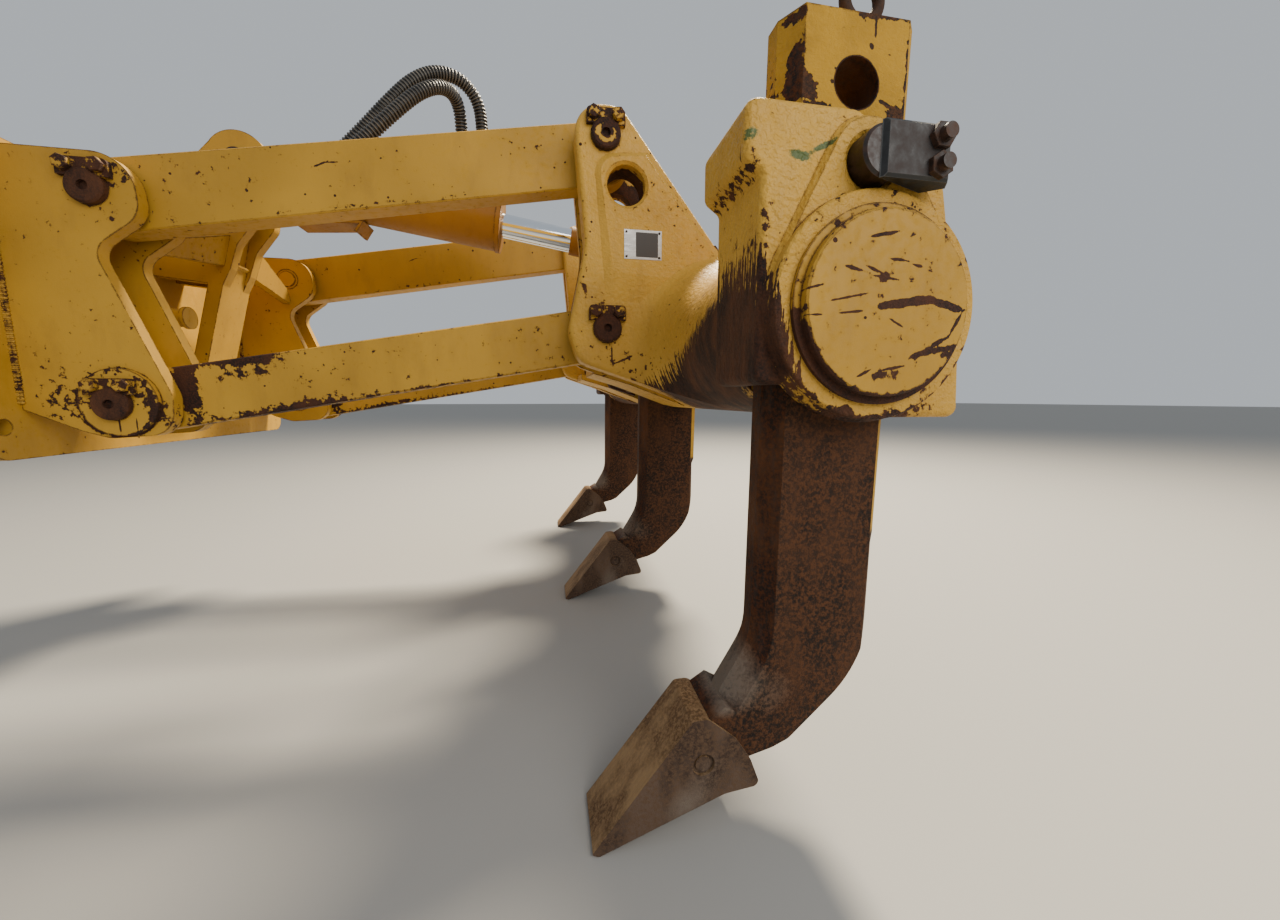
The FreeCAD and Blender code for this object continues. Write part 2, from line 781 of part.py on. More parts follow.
def tip_pin(y_mid):
    reach = tip_width / 2 - 3
    return disc(tip_pin_diameter / 2, y_mid - reach, y_mid + reach, tube_x + tip_pin_x, tube_z + tip_pin_z)


pin_side = {"left": -1, "middle": -1, "right": 1}   # where each shank pin's keeper block is
shank_pin_stand_out = 32     # beyond the pocket, up to the keeper block


def shank_pin(y_mid, side):
    """Pin that holds a shank in its pocket, with its keeper block on the outer end."""
    near = -pocket_half_width - 12
    far = pocket_half_width + shank_pin_stand_out
    ends = sorted((y_mid + side * near, y_mid + side * far))
    pin = disc(shank_pin_diameter / 2, ends[0], ends[1], tube_x + shank_pin_x, tube_z + shank_pin_z)
    return pin.makeChamfer(pin_edge, [e for e in pin.Edges if lies_at(ends[0])(e) or lies_at(ends[1])(e)])


keeper_block_front = 8       # the pin's end goes this deep behind the block's outer face
keeper_block_gap = 0.3
keeper_block_edge = 4
keeper_block_half_height = 36
keeper_block_left = -5       # its outer face, from the pin's centre
keeper_block_right = 88
keeper_block_slant = 14      # its right side leans out by this
keeper_block_step = 20       # below the outer face, where that side turns back
keeper_nut_radius = 15
keeper_nut_height = 8
keeper_stud_radius = 10
keeper_stud_height = 19
keeper_bolt_x = 72
keeper_bolt_spacing = 37


def keeper_block(y_mid, side):
    """Wedge-shaped block that covers the pin's end and is bolted through to the pocket."""
    pin_end = pocket_half_width + shank_pin_stand_out
    face = pin_end + keeper_block_gap + keeper_block_front
    x, z = tube_x + shank_pin_x, tube_z + shank_pin_z
    half = keeper_block_half_height
    plan = [(keeper_block_left, face),
            (keeper_block_right, face),
            (keeper_block_right + keeper_block_slant, face - keeper_block_step),
            (keeper_block_right - 10, pocket_half_width + keeper_block_gap),
            (keeper_block_left - 6, pin_end + keeper_block_gap)]
    points = [Vector(x + along, y_mid + side * out, z - half) for along, out in plan]
    block = Part.Face(Part.makePolygon(points + points[:1])).extrude(Vector(0, 0, 2 * half))
    upright = [e for e in block.Edges if e.BoundBox.ZLength < 1e-3 and lies_at(y_mid + side * face)(e)]
    block = block.makeChamfer(keeper_block_edge, upright)
    y_low, y_high = sorted((y_mid, y_mid + side * (pin_end + keeper_block_gap)))
    block = block.cut(disc(shank_pin_diameter / 2 + keeper_block_gap, y_low, y_high, x, z))
    pieces = [block]
    nut_and_stud = ((keeper_nut_radius, keeper_nut_height), (keeper_stud_radius, keeper_stud_height))
    for level in (-1, 1):
        bolt_z = z + level * keeper_bolt_spacing / 2
        for radius, height in nut_and_stud:
            y_low, y_high = sorted((y_mid + side * (face - 1), y_mid + side * (face + height)))
            pieces.append(disc(radius, y_low, y_high, x + keeper_bolt_x, bolt_z))
    return joined(pieces)


eye_ring_radius = 29
eye_bar_radius = 9
eye_ring_x = 25              # from the tube's centre
eye_ring_height = 58         # its centre above the shank's top
eye_collar_radius = 22
eye_collar_height = 9
eye_neck_radius = 19         # at the collar, from where it tapers to the ring


def lifting_eye(y_mid):
    """Forged eye bolt that is screwed into the shank's top."""
    foot = Vector(tube_x + eye_ring_x, y_mid, tube_z + shank_top)
    ring = Part.makeTorus(eye_ring_radius, eye_bar_radius, foot + Vector(0, 0, eye_ring_height),
                          Vector(0, 1, 0))
    collar = Part.makeCylinder(eye_collar_radius, eye_collar_height, foot)
    neck_height = eye_ring_height - eye_ring_radius - eye_collar_height
    neck = Part.makeCone(eye_neck_radius, eye_bar_radius, neck_height, foot + Vector(0, 0, eye_collar_height))
    return joined([ring, collar, neck])


# Lift cylinder


def along_cylinder(shape):
    """From a cylinder drawn along X from its base pin to its place."""
    shape.rotate(Vector(0, 0, 0), Vector(0, 1, 0), -cylinder_slope)
    shape.translate(Vector(base_x, 0, base_z))
    return shape


neck_start = cylinder_length - eye_neck_length   # along the cylinder from its base pin
head_end = neck_start - rod_exposed
rod_inner_end = head_end - rod_hidden
gland_length = 70
gland_collar = 14
bore_start = 160
guard_half_width = 45
guard_rib_half = 6
guard_outline = [
    (base_x + 122, base_z - 158),
    (base_x + 122, base_z - 150),
    (base_x + 318, base_z - 138),
    (base_x + 296, base_z - 172),
    (base_x + 288, base_z - 168),
    (base_x + 304, base_z - 146),
]
guard_rib_outline = [
    (base_x + 142, base_z - 152),
    (base_x + 142, base_z - 95),
    (base_x + 292, base_z - 120),
    (base_x + 292, base_z - 142),
]


def rod_along(radius, start, end):
    return Part.makeCylinder(radius, end - start, Vector(start, 0, 0), Vector(1, 0, 0))


def barrel():
    """Barrel with its base eye, gland collar and the two hose ports on top."""
    tube = rod_along(barrel_radius, 112, head_end)
    collar = rod_along(barrel_radius + 4, head_end - 1, head_end + gland_collar)
    eye = disc(66, -base_eye_half_width, base_eye_half_width, 0, 0)
    neck = box(0, 120, -base_eye_half_width, base_eye_half_width, -52, 52)
    shape = along_cylinder(joined([tube, collar, eye, neck]))
    guard = [plate(guard_outline, -guard_half_width, guard_half_width),
             plate(guard_rib_outline, -guard_rib_half, guard_rib_half)]
    shape = joined([shape] + guard + hose_ports())
    shape = shape.cut(along_cylinder(rod_along(bore_radius, bore_start, head_end - gland_length)))
    rod_bore = rod_along(rod_radius + rod_running_clearance, bore_start, head_end + gland_collar + 5)
    shape = shape.cut(along_cylinder(rod_bore))
    return shape.cut(disc(cylinder_pin_diameter / 2 + bore_clearance, -80, 80, base_x, base_z))


def rod():
    return along_cylinder(rod_along(rod_radius, rod_inner_end, neck_start))


def rod_eye():
    """Eye with the middle of its pin, which the linkage opens from the pin's two ends."""
    eye = disc(60, -eye_half_width, eye_half_width, cylinder_length, 0)
    neck = rod_along(46, neck_start, cylinder_length - 20)
    shape = joined([eye, neck])
    return along_cylinder(shape)


def base_pin():
    reach = post_half_width + 10
    return disc(cylinder_pin_diameter / 2, -reach, reach, base_x, base_z)


def eye_pin_ends():
    """The two ends of the rod eye's pin, held in the beam's lugs."""
    ends = []
    for name, side in sides:
        y_low, y_high = between(side, lug_inner - 1, pocket_half_width + 10)
        ends.append(disc(cylinder_pin_diameter / 2, y_low, y_high, eye_x, eye_z))
    return Part.makeCompound(ends)


# Hoses

port_back = {"hose_outer": 36.7, "hose_inner": 99.7}   # before the barrel's head end, along x
hose_routes = {              # x from the bulkhead's face
    "hose_outer": [
        (0.3, -150, 352),
        (100, -150, 352),
        (200, -150, 420),
        (300, -146, 545),
        (385, -134, 657),
        (450, -112, 740),
        (516, -78, 790),
        (585, -40, 797),
        (631, -8, 748),
        (635, 0, 650),
        (635, 0, 500.3),
    ],
    "hose_inner": [
        (0.3, -206, 352),
        (100, -206, 352),
        (220, -204, 395),
        (340, -200, 496),
        (418, -190, 588),
        (482, -162, 672),
        (538, -118, 724),
        (570, -50, 732),
        (572, 0, 650),
        (572, 0, 500.3),
    ],
}
port_top = 500
bulkhead_face = 350          # where the hoses leave it
bulkhead_z = 352
bulkhead_half_height = 36
bulkhead_end = -240
bulkhead_thickness = 12
bulkhead_foot = 88           # of the arm along the near lug
bulkhead_foot_thickness = 10


def hose_route(name):
    """A hose's points, stretched in x so that it ends on its port."""
    barrel_end_x = base_x + head_end * math.cos(math.radians(cylinder_slope))
    points = hose_routes[name]
    stretch = (barrel_end_x - port_back[name] - bulkhead_face) / points[-1][0]
    return [(bulkhead_face + x * stretch, y, z) for x, y, z in points]


def tube_along(points, radius, name):
    """Round tube along straight runs joined by tangent arcs."""
    places = [Vector(*point) for point in points]
    edges = []
    last = places[0]
    smallest = None
    for i in range(1, len(places) - 1):
        here = places[i]
        back = places[i - 1] - here
        ahead = places[i + 1] - here
        shorter = min(back.Length, ahead.Length)
        turn = math.pi - back.getAngle(ahead)
        bend = 0.45 * shorter / math.tan(turn / 2)
        reach = 0.45 * shorter
        first = here + back.normalize() * reach
        final = here + ahead.normalize() * reach
        middle = (back + ahead).normalize()
        top = here + middle * (bend / math.cos(turn / 2) - bend)
        edges.append(Part.LineSegment(last, first).toShape())
        edges.append(Part.Arc(first, top, final).toShape())
        last = final
        smallest = bend if smallest is None else min(smallest, bend)
    edges.append(Part.LineSegment(last, places[-1]).toShape())
    path = Part.Wire(edges)
    start = edges[0].tangentAt(edges[0].FirstParameter)
    ring = Part.Wire(Part.makeCircle(radius, places[0], start))
    tube = path.makePipeShell([ring], True, True)
    expected = math.pi * radius ** 2 * path.Length
    print(name, "length", round(path.Length), "tightest bend", round(smallest),
          "volume share", round(tube.Volume / expected, 4))
    return tube


def bulkhead():
    """Bracket on the near lug that holds the two hose unions."""
    low, high = bulkhead_z - bulkhead_half_height, bulkhead_z + bulkhead_half_height
    lug_face = -post_half_width
    arm = box(bulkhead_face - bulkhead_thickness, bulkhead_face, bulkhead_end, lug_face, low, high)
    foot = box(bulkhead_face - bulkhead_foot, bulkhead_face, lug_face - bulkhead_foot_thickness, lug_face,
               low, high)
    return joined([arm, foot])


def hose_ports():
    """Two port blocks that stand on top of the barrel's head end."""
    blocks = []
    for name in hose_routes:
        x = hose_route(name)[-1][0]
        axis_z = base_z + (x - base_x) * math.tan(math.radians(cylinder_slope))
        blocks.append(box(x - 24, x + 24, -24, 24, axis_z + barrel_radius - 15, port_top))
    return blocks


save("mount_back_plate", mount_back_plate())
save("mount_post", mount_post())
for name, side in sides:
    outer_low, outer_high = between(side, gap_outer, plate_outer)
    inner_low, inner_high = between(side, plate_inner, gap_inner)
    save("mount_outer_plate_" + name, side_plate(outer_low, outer_high, side))
    save("mount_inner_plate_" + name, side_plate(inner_low, inner_high, 0))
    save("mount_deck_" + name, mount_deck(side))
    save("upper_link_" + name, link(upper_link_height, front_upper_pin_z, side, open_pivot_clearance))
    save("lower_link_" + name, link(lower_link_height, front_lower_pin_z, side, bore_clearance))
    save("beam_" + name, beam_half(side))
    save("end_cap_" + name, end_cap(side))

front_pins = []
front_keepers = []
rear_pins = []
rear_keepers = []
for name, side in sides:
    for z in (front_lower_pin_z, front_upper_pin_z):
        face = plate_outer + (12 if z == front_lower_pin_z else 0)
        front_pins.append(cross_pin(side, plate_inner, face, front_pin_x, z))
        front_keepers.append(keeper(side, face, front_pin_x, z))
    for z in (rear_lower_pin_z, rear_upper_pin_z):
        rear_pins.append(cross_pin(side, ear_inner, ear_outer, rear_pin_x, z))
        rear_keepers.append(keeper(side, ear_outer, rear_pin_x, z))
save("front_pins", Part.makeCompound(front_pins))
save("front_pin_keepers", Part.makeCompound(front_keepers))
save("rear_pins", Part.makeCompound(rear_pins))
save("rear_pin_keepers", Part.makeCompound(rear_keepers))

for name, y_mid in stations:
    side = pin_side[name]
    save("pocket_" + name, shank_pocket(y_mid))
    save("shank_" + name, shank(y_mid))
    save("tip_" + name, ripper_tip(y_mid))
    save("shank_pin_" + name, shank_pin(y_mid, side))
    save("keeper_block_" + name, keeper_block(y_mid, side))
save("tip_pins", Part.makeCompound([tip_pin(y_mid) for name, y_mid in stations]))
save("lifting_eyes", Part.makeCompound([lifting_eye(y_mid) for name, y_mid in stations]))

save("cylinder_barrel", barrel())
save("cylinder_rod", rod())
save("rod_eye", rod_eye())
save("cylinder_base_pin", base_pin())
save("eye_pin_ends", eye_pin_ends())
save("hose_bulkhead", bulkhead())
for name in hose_routes:
    save(name, tube_along(hose_route(name), hose_radius, name))
print("cylinder length", round(cylinder_length, 1), "slope", round(cylinder_slope, 2))
print("front pins", front_pin_x, front_lower_pin_z, front_upper_pin_z)
print("rear pins", round(rear_pin_x, 2), round(rear_lower_pin_z, 2), round(rear_upper_pin_z, 2))
print("base pin", round(base_x, 2), round(base_z, 2), "eye pin", round(eye_x, 2), round(eye_z, 2))
print("tube centre", round(tube_x, 2), round(tube_z, 2))
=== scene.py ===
# %% [markdown]
# # A three-shank ripper, dressed after its photograph
# The machine part comes packed, in metres, with every plate, link and pin in its real place.
# This script never moves it. It gives each piece the finish of the real one, adds what is too
# soft or too small for the solids, and sets up the camera, the floor and the light.

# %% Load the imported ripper
import json
import math

import bmesh
import bpy
from mathutils import Matrix, Vector


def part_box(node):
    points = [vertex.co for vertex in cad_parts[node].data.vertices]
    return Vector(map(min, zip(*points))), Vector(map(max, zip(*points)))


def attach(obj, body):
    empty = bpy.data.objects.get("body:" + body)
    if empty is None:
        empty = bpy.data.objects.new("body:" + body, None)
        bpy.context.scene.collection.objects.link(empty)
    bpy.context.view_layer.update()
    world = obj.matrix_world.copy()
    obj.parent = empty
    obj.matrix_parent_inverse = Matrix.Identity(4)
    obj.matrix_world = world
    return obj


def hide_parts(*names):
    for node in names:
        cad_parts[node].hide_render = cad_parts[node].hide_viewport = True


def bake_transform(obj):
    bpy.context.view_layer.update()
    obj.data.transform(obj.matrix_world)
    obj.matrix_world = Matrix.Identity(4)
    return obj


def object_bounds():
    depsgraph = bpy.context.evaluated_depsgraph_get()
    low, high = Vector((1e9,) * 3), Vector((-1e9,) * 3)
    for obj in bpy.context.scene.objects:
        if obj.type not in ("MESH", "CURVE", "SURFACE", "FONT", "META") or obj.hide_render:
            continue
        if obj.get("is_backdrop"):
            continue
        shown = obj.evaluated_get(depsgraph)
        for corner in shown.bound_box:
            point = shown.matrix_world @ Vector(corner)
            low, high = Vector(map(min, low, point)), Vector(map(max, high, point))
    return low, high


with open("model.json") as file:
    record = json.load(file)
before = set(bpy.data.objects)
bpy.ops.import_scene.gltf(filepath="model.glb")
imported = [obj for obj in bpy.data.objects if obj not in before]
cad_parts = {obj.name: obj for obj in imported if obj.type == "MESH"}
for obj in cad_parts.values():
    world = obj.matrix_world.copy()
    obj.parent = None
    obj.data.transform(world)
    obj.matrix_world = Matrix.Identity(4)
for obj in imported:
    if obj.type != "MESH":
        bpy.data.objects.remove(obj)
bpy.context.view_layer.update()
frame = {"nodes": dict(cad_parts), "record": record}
nodes = frame["nodes"]
print("pieces in the packed ripper:", len(nodes))

# %% [markdown]
# ## Places to hang things on
# Wear, grease and rust sit round pins, along edges and under the tube. Their places come from the
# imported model: the pins from its joints, and the tube and the shanks from the boxes of their nodes.

# %% Places taken from the frame


def middle(node):
    """Centre of a node's box."""
    low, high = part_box(node)
    return (Vector(low) + Vector(high)) / 2


pivots = {}
for row in frame["record"]["behaviour"]["joints"]:
    if "pos_m" in row:
        pivots[row["name"]] = Vector(row["pos_m"])
front_low = pivots["lift"]
front_high = pivots["upper_link_left_pivot"]
rear_low = pivots["beam_pivot"]
rear_high = rear_low + front_high - front_low
cap = middle("end_cap_left")
near_pin = middle("shank_pin_left")
print("front pins", front_low, front_high)
print("rear pins", rear_low, rear_high, "tube", cap)

# %% [markdown]
# ## Colours and shader nodes
# Colours are read off as sRGB hex values, as a painter would name them, but Cycles mixes light in
# linear values, so one function turns the one into the other. A shader tree is a list of nodes with
# settings and links. One small function that adds a node, sets it and links it keeps each material
# short enough to read from top to bottom.

# %% Helpers for colours and shader nodes


def linear(code):
    """sRGB hex such as a07c3f as linear red, green, blue and alpha."""
    values = [int(code[i:i + 2], 16) / 255 for i in (0, 2, 4)]
    return [v / 12.92 if v <= 0.04045 else ((v + 0.055) / 1.055) ** 2.4 for v in values] + [1.0]


def add(tree, kind, links=(), **settings):
    """Add a shader node, set its properties, and set or link its sockets, in order or by name."""
    node = tree.nodes.new("ShaderNode" + kind)
    for name, value in settings.items():
        setattr(node, name, value)
    pairs = links.items() if isinstance(links, dict) else enumerate(links)
    for name, value in pairs:
        if isinstance(value, bpy.types.Node):
            value = value.outputs[0]
        if isinstance(value, bpy.types.NodeSocket):
            tree.links.new(value, node.inputs[name])
        else:
            node.inputs[name].default_value = value
    return node


def new_material(name):
    """Empty material, its tree and the object coordinates that its patterns read."""
    material = bpy.data.materials.new(name)
    material.use_nodes = True
    tree = material.node_tree
    tree.nodes.clear()
    place = add(tree, "TexCoord").outputs["Object"]
    return material, tree, place


def layered(tree, base, *coats):
    """A base colour with coats of colour over it, each shown as far as its mask says."""
    colour = linear(base) if isinstance(base, str) else base
    for mask, code in coats:
        over = linear(code) if isinstance(code, str) else code
        colour = add(tree, "Mix", {0: mask, 6: colour, 7: over}, data_type="RGBA").outputs[2]
    return colour


def finished(tree, shader):
    """Hand a shader to the tree's output."""
    add(tree, "OutputMaterial", {"Surface": shader})


# %% [markdown]
# ## Where paint wears
# Paint on a digging tool chips along its edges first, then round the pins and wherever stones
# strike. Three things added together say where it is gone: the nearness of an edge, which a Bevel
# node sees as a bend of the normal, soft patches placed one by one, and noise. Cutting that sum off at one
# level gives chips with crisp, uneven rims, thick where the edge is and sparse on the flat.

# %% Masks for edges and patches
edge_reach = 0.007
on_flat = 0.98               # how well the two normals agree on the flat
on_edge = 0.80               # and on an edge
wide = 100.0                 # a patch this large ignores that direction


def edges(tree, reach=edge_reach):
    """1 on an outer edge, 0 a few millimetres away from it."""
    bent = add(tree, "Bevel", {"Radius": reach}, samples=6)
    flat = add(tree, "NewGeometry").outputs["Normal"]
    same = add(tree, "VectorMath", [bent, flat], operation="DOT_PRODUCT").outputs["Value"]
    return add(tree, "MapRange", {"Value": same, "From Min": on_flat, "From Max": on_edge})


def patch(tree, place, centre, size, turn=0.0):
    """1 at a patch's centre, 0 outside its half sizes. A turn is in degrees, nose up to the rear."""
    local = add(tree, "Mapping", {"Vector": place, "Location": centre, "Scale": size,
                                  "Rotation": (0, -math.radians(turn), 0)}, vector_type="TEXTURE")
    reach = add(tree, "VectorMath", [local], operation="LENGTH").outputs["Value"]
    return add(tree, "MapRange", {"Value": reach, "From Min": 1.0, "From Max": 0.0},
               interpolation_type="SMOOTHSTEP")


def patches(tree, place, table, total, across=0.0, depth=wide):
    """Add soft patches. Each row is a centre in x and z, half sizes, a turn and a strength. They go
    right through the piece, unless a place across it and a depth are given."""
    for x, z, length, height, turn, strength in table:
        one = patch(tree, place, (x, across, z), (length, depth, height), turn)
        total = add(tree, "Math", [one, strength, total], operation="MULTIPLY_ADD")
    return total


def rings(tree, place, table, total):
    """Add soft rings round lines along Y. Each row is x and z, a radius, a width, a strength at the
    ring's top and one at its bottom."""
    for x, z, radius, width, top, bottom in table:
        local = add(tree, "VectorMath", [place, (x, 0, z)], operation="SUBTRACT")
        rise = add(tree, "SeparateXYZ", [local]).outputs["Z"]
        strength = add(tree, "MapRange", {"Value": rise, "To Min": top, "To Max": bottom,
                                          "From Min": width, "From Max": -width - radius / 2})
        level = add(tree, "VectorMath", [local, (1, 0, 1)], operation="MULTIPLY")
        reach = add(tree, "VectorMath", [level], operation="LENGTH").outputs["Value"]
        off = add(tree, "Math", [reach, radius], operation="SUBTRACT")
        off = add(tree, "Math", [off], operation="ABSOLUTE")
        one = add(tree, "MapRange", {"Value": off, "From Min": width, "From Max": 0.0})
        total = add(tree, "Math", [one, strength, total], operation="MULTIPLY_ADD")
    return total


# %% [markdown]
# ## Machine paint
# The real finish is a thick yellow enamel, sprayed over primed plate and castings, half matt from
# years outdoors. Two tones of it drift over each piece, a film of brown dust lies on it, and
# each chip shows dark rusted steel with a thin stained rim. A cast piece also has the orange-peel
# skin of its sand mould, which a plate doesn't have, so the skin's depth is a setting.

# %% Sizes and levels of the paint's wear
chip_size = 0.015            # metres, across a chip
spot_spacing = 0.030         # between the small spots that stones knock out
spot_none = 0.50             # share of the cells that hold no spot
spot_largest = 0.17          # radius of the largest, as a share of the spacing
spot_rim = 0.03
drift_size = 0.30            # across a cloud of colour
film_size = 0.06
grit_size = 0.004            # of the rust
peel_size = 0.009            # orange peel of a sand casting
skin_size = 0.0025           # the paint's own skin
skin_depth = 0.0002
coat_depth = 0.0012
pit_depth = 0.0025
edge_wear = 0.27             # what an edge, a cloud of colour and a spot add to the wear
drift_wear = 0.25
spot_wear = 0.30
bare_level = 0.820           # paint is gone where the wear is above this
bare_crisp = 0.012           # the wear grows by this across a chip's rim
rim_level = 0.780            # and the stain round the chip starts here
smear_offset = -0.082        # from a shank's middle to the middle of the smears on its pocket
smear_depth = 0.025
enamel = ("b68b29", "a57d23", "7a5923")  # two tones of paint, and the dust on it
cast_enamel = ("c3983a", "b48a31", "84632f")  # lighter on the castings

# %% Noise and spots


def noise(tree, place, size, detail=3.0, rough=0.55, stretch=None):
    """Noise whose features are about this large, in metres, stretched where asked."""
    where = place
    if stretch:
        where = add(tree, "Mapping", {"Vector": place, "Scale": stretch})
    return add(tree, "TexNoise", {"Vector": where, "Scale": 1 / size, "Detail": detail,
                                  "Roughness": rough})


def spots(tree, place):
    """1 in small round spots of several sizes, one in some cells of a grid without order."""
    cells = add(tree, "TexVoronoi", {"Vector": place, "Scale": 1 / spot_spacing})
    size = add(tree, "MapRange", {"Value": cells.outputs["Color"], "From Min": spot_none, "From Max": 0.95,
                                  "To Max": spot_largest})
    inside = add(tree, "Math", [size, cells.outputs["Distance"]], operation="SUBTRACT")
    return add(tree, "MapRange", {"Value": inside, "From Max": spot_rim})


# %% Machine paint


def machine_paint(name, cast=0.0, chips=0.0, wear=(), worn_rings=(), rust=None, smears=(), tones=enamel):
    """Weathered yellow enamel. cast is the depth of the casting's skin, chips more or fewer chips,
    wear and worn_rings tables of patches and rings, rust a function that says where the paint is
    rubbed away, and smears a table of patches of old green paint."""
    material, tree, place = new_material(name)
    drift = noise(tree, place, drift_size, 2.0)
    film = noise(tree, place, film_size, 5.0, 0.65, (1.0, 1.0, 0.35))
    flakes = noise(tree, place, chip_size, 4.0, 0.6)
    total = add(tree, "Math", [flakes, 1.0, chips], operation="MULTIPLY_ADD")
    for one, strength in ((edges(tree), edge_wear), (drift, drift_wear), (spots(tree, place), spot_wear)):
        total = add(tree, "Math", [one, strength, total], operation="MULTIPLY_ADD")
    total = patches(tree, place, wear, total)
    total = rings(tree, place, worn_rings, total)
    if rust:
        total = add(tree, "Math", [rust(tree, place), total], operation="ADD")
    bare = add(tree, "MapRange", {"Value": total, "From Min": bare_level,
                                  "From Max": bare_level + bare_crisp})
    rim = add(tree, "MapRange", {"Value": total, "From Min": rim_level, "From Max": bare_level,
                                 "To Max": 0.6})
    tone = add(tree, "MapRange", {"Value": drift, "From Min": 0.40, "From Max": 0.62})
    dust = add(tree, "MapRange", {"Value": film, "From Min": 0.50, "From Max": 0.85, "To Max": 0.45})
    grit = noise(tree, place, grit_size, 4.0, 0.7)
    dark = add(tree, "MapRange", {"Value": grit, "From Min": 0.42, "From Max": 0.62})
    cloud = add(tree, "MapRange", {"Value": film, "From Min": 0.42, "From Max": 0.62, "To Max": 0.7})
    steel = layered(tree, "1c0f09", (dark, "3f2112"), (cloud, "5f381d" if rust else "4e2a14"))
    colour = layered(tree, tones[0], (tone, tones[1]), (dust, tones[2]))
    if smears:
        green = patches(tree, place, smears, 0.0, near_pin.y + smear_offset, smear_depth)
        green = add(tree, "Math", [green, grit], operation="MULTIPLY")
        green = add(tree, "MapRange", {"Value": green, "From Min": 0.20, "From Max": 0.32})
        colour = layered(tree, colour, (green, "4c5a2c"))
    colour = layered(tree, colour, (rim, "6b4a1c"), (bare, steel))
    gloss = add(tree, "MapRange", {"Value": total, "From Min": 0.60, "From Max": 0.83,
                                   "To Min": 0.52, "To Max": 0.80})
    skin = noise(tree, place, peel_size if cast else skin_size, 2.0)
    height = add(tree, "Math", [skin, cast if cast else skin_depth], operation="MULTIPLY")
    coat = add(tree, "Math", [bare, -coat_depth, height], operation="MULTIPLY_ADD")
    pits = add(tree, "Math", [grit, bare], operation="MULTIPLY")
    coat = add(tree, "Math", [pits, pit_depth, coat], operation="MULTIPLY_ADD")
    bump = add(tree, "Bump", {"Height": coat, "Distance": 1.0, "Strength": 0.9})
    shader = add(tree, "BsdfPrincipled", {"Base Color": colour, "Roughness": gloss, "Normal": bump,
                                          "Specular IOR Level": 0.35})
    finished(tree, shader)
    return material


# %% [markdown]
# ## Wear on each painted group
# The bracket is worn round its pins, and grease runs from the lower ones. The lower links take stones
# at their front ends and lower edges. The beam's underside slides through spoil, so it is rubbed
# down to brown steel below a line that rises towards the pockets, with brush marks across it.

# %% Paint of bracket, links and cylinder
link_turn = math.degrees(math.atan2(rear_low.z - front_low.z, rear_low.x - front_low.x))
link_rise = math.tan(math.radians(link_turn))
link_gap = front_high.z - front_low.z


def on_link(x, offset):
    """Height at a place x on the lower link, this far above its middle line."""
    return front_low.z + (x - front_low.x) * link_rise + offset


bracket_wear = [
    (front_high.x, front_high.z, 0.060, 0.060, 0, 0.20),
    (front_high.x + 0.045, front_high.z + 0.03, 0.05, 0.05, 0, 0.16),
    (front_high.x + 0.03, front_high.z - 0.055, 0.03, 0.02, 0, 0.20),
    (front_low.x, front_low.z + 0.02, 0.085, 0.07, 0, 0.17),
    (front_low.x + 0.075, front_low.z - 0.01, 0.035, 0.10, 20, 0.26),
    (front_low.x + 0.005, front_low.z - 0.048, 0.0035, 0.026, 0, 0.45),
    (front_low.x + 0.037, front_low.z - 0.046, 0.003, 0.022, 0, 0.45),
    (front_low.x - 0.09, front_low.z - 0.01, 0.09, 0.08, -20, 0.10),
    (front_low.x - 0.08, front_low.z + 0.05, 0.17, 0.17, -20, 0.09),
    (front_low.x - 0.05, front_low.z - 0.075, 0.10, 0.012, -20, 0.24),
    (front_low.x - 0.01, front_low.z + 0.19, 0.05, 0.12, 60, 0.09),
]
bracket_paint = machine_paint("weathered enamel on flame-cut plate", chips=0.004, wear=bracket_wear,
                              worn_rings=[(front_low.x, front_low.z, 0.073, 0.010, 0.16, 0.30)])
welded_paint = machine_paint("brushed enamel on welded plate", chips=-0.012)
lower_link_wear = [
    (0.342, on_link(0.342, 0.020), 0.042, 0.120, link_turn, 0.60),
    (0.450, on_link(0.450, 0.073), 0.180, 0.030, link_turn, 0.44),
    (0.480, on_link(0.480, 0.045), 0.130, 0.040, link_turn, 0.19),
    (0.540, on_link(0.540, -0.068), 0.330, 0.026, link_turn, 0.30),
    (0.900, on_link(0.900, -0.069), 0.300, 0.014, link_turn, 0.18),
    (rear_low.x - 0.06, rear_low.z + 0.05, 0.05, 0.03, 0, 0.16),
]
lower_link_paint = machine_paint("stone-chipped enamel on forged bar", chips=0.012, wear=lower_link_wear)
upper_link_wear = [
    (front_high.x + 0.13, front_high.z + 0.05, 0.10, 0.05, 0, 0.10),
    (0.70, on_link(0.70, link_gap - 0.069), 0.40, 0.010, link_turn, 0.15),
    (0.662, 0.329, 0.030, 0.004, 25, 0.40),
    (0.690, 0.336, 0.020, 0.003, 8, 0.35),
]
upper_link_paint = machine_paint("enamel on forged bar", chips=-0.015, wear=upper_link_wear)
# The barrel's tones are darker than the enamel's: partly a more orange paint, partly painted shade.
cylinder_paint = machine_paint("sprayed enamel on drawn tube", chips=-0.03,
                               tones=("98691a", "825814", "604014"))


# %% Rubbed underside of the beam
rubbed_wear = 0.45           # added to the wear where the paint is rubbed off
rust_slope = 0.45            # the line drops by this for each metre towards the middle
rust_start = 0.74            # and is level with the tube's centre this far out
rust_line = 0.060            # the rust starts this far below the line, and is full by rust_full
rust_full = 0.085
brush_stretch = 240.0        # noise steps for each metre along the tube, so the marks run round it
brush_scale = 1.3
brush_reach = 0.14           # how far the marks blur the line
hole_darkening = (1.368, -0.405, 0.303)  # inside the near ear's hole
hole_darkening_size = (0.120, 0.115, 0.120)
hole_darkening_wear = 3.0


def around_tube(tree, place):
    """Place from the tube's centre, as three numbers."""
    local = add(tree, "VectorMath", [place, (cap.x, 0, cap.z)], operation="SUBTRACT")
    return add(tree, "SeparateXYZ", [local])


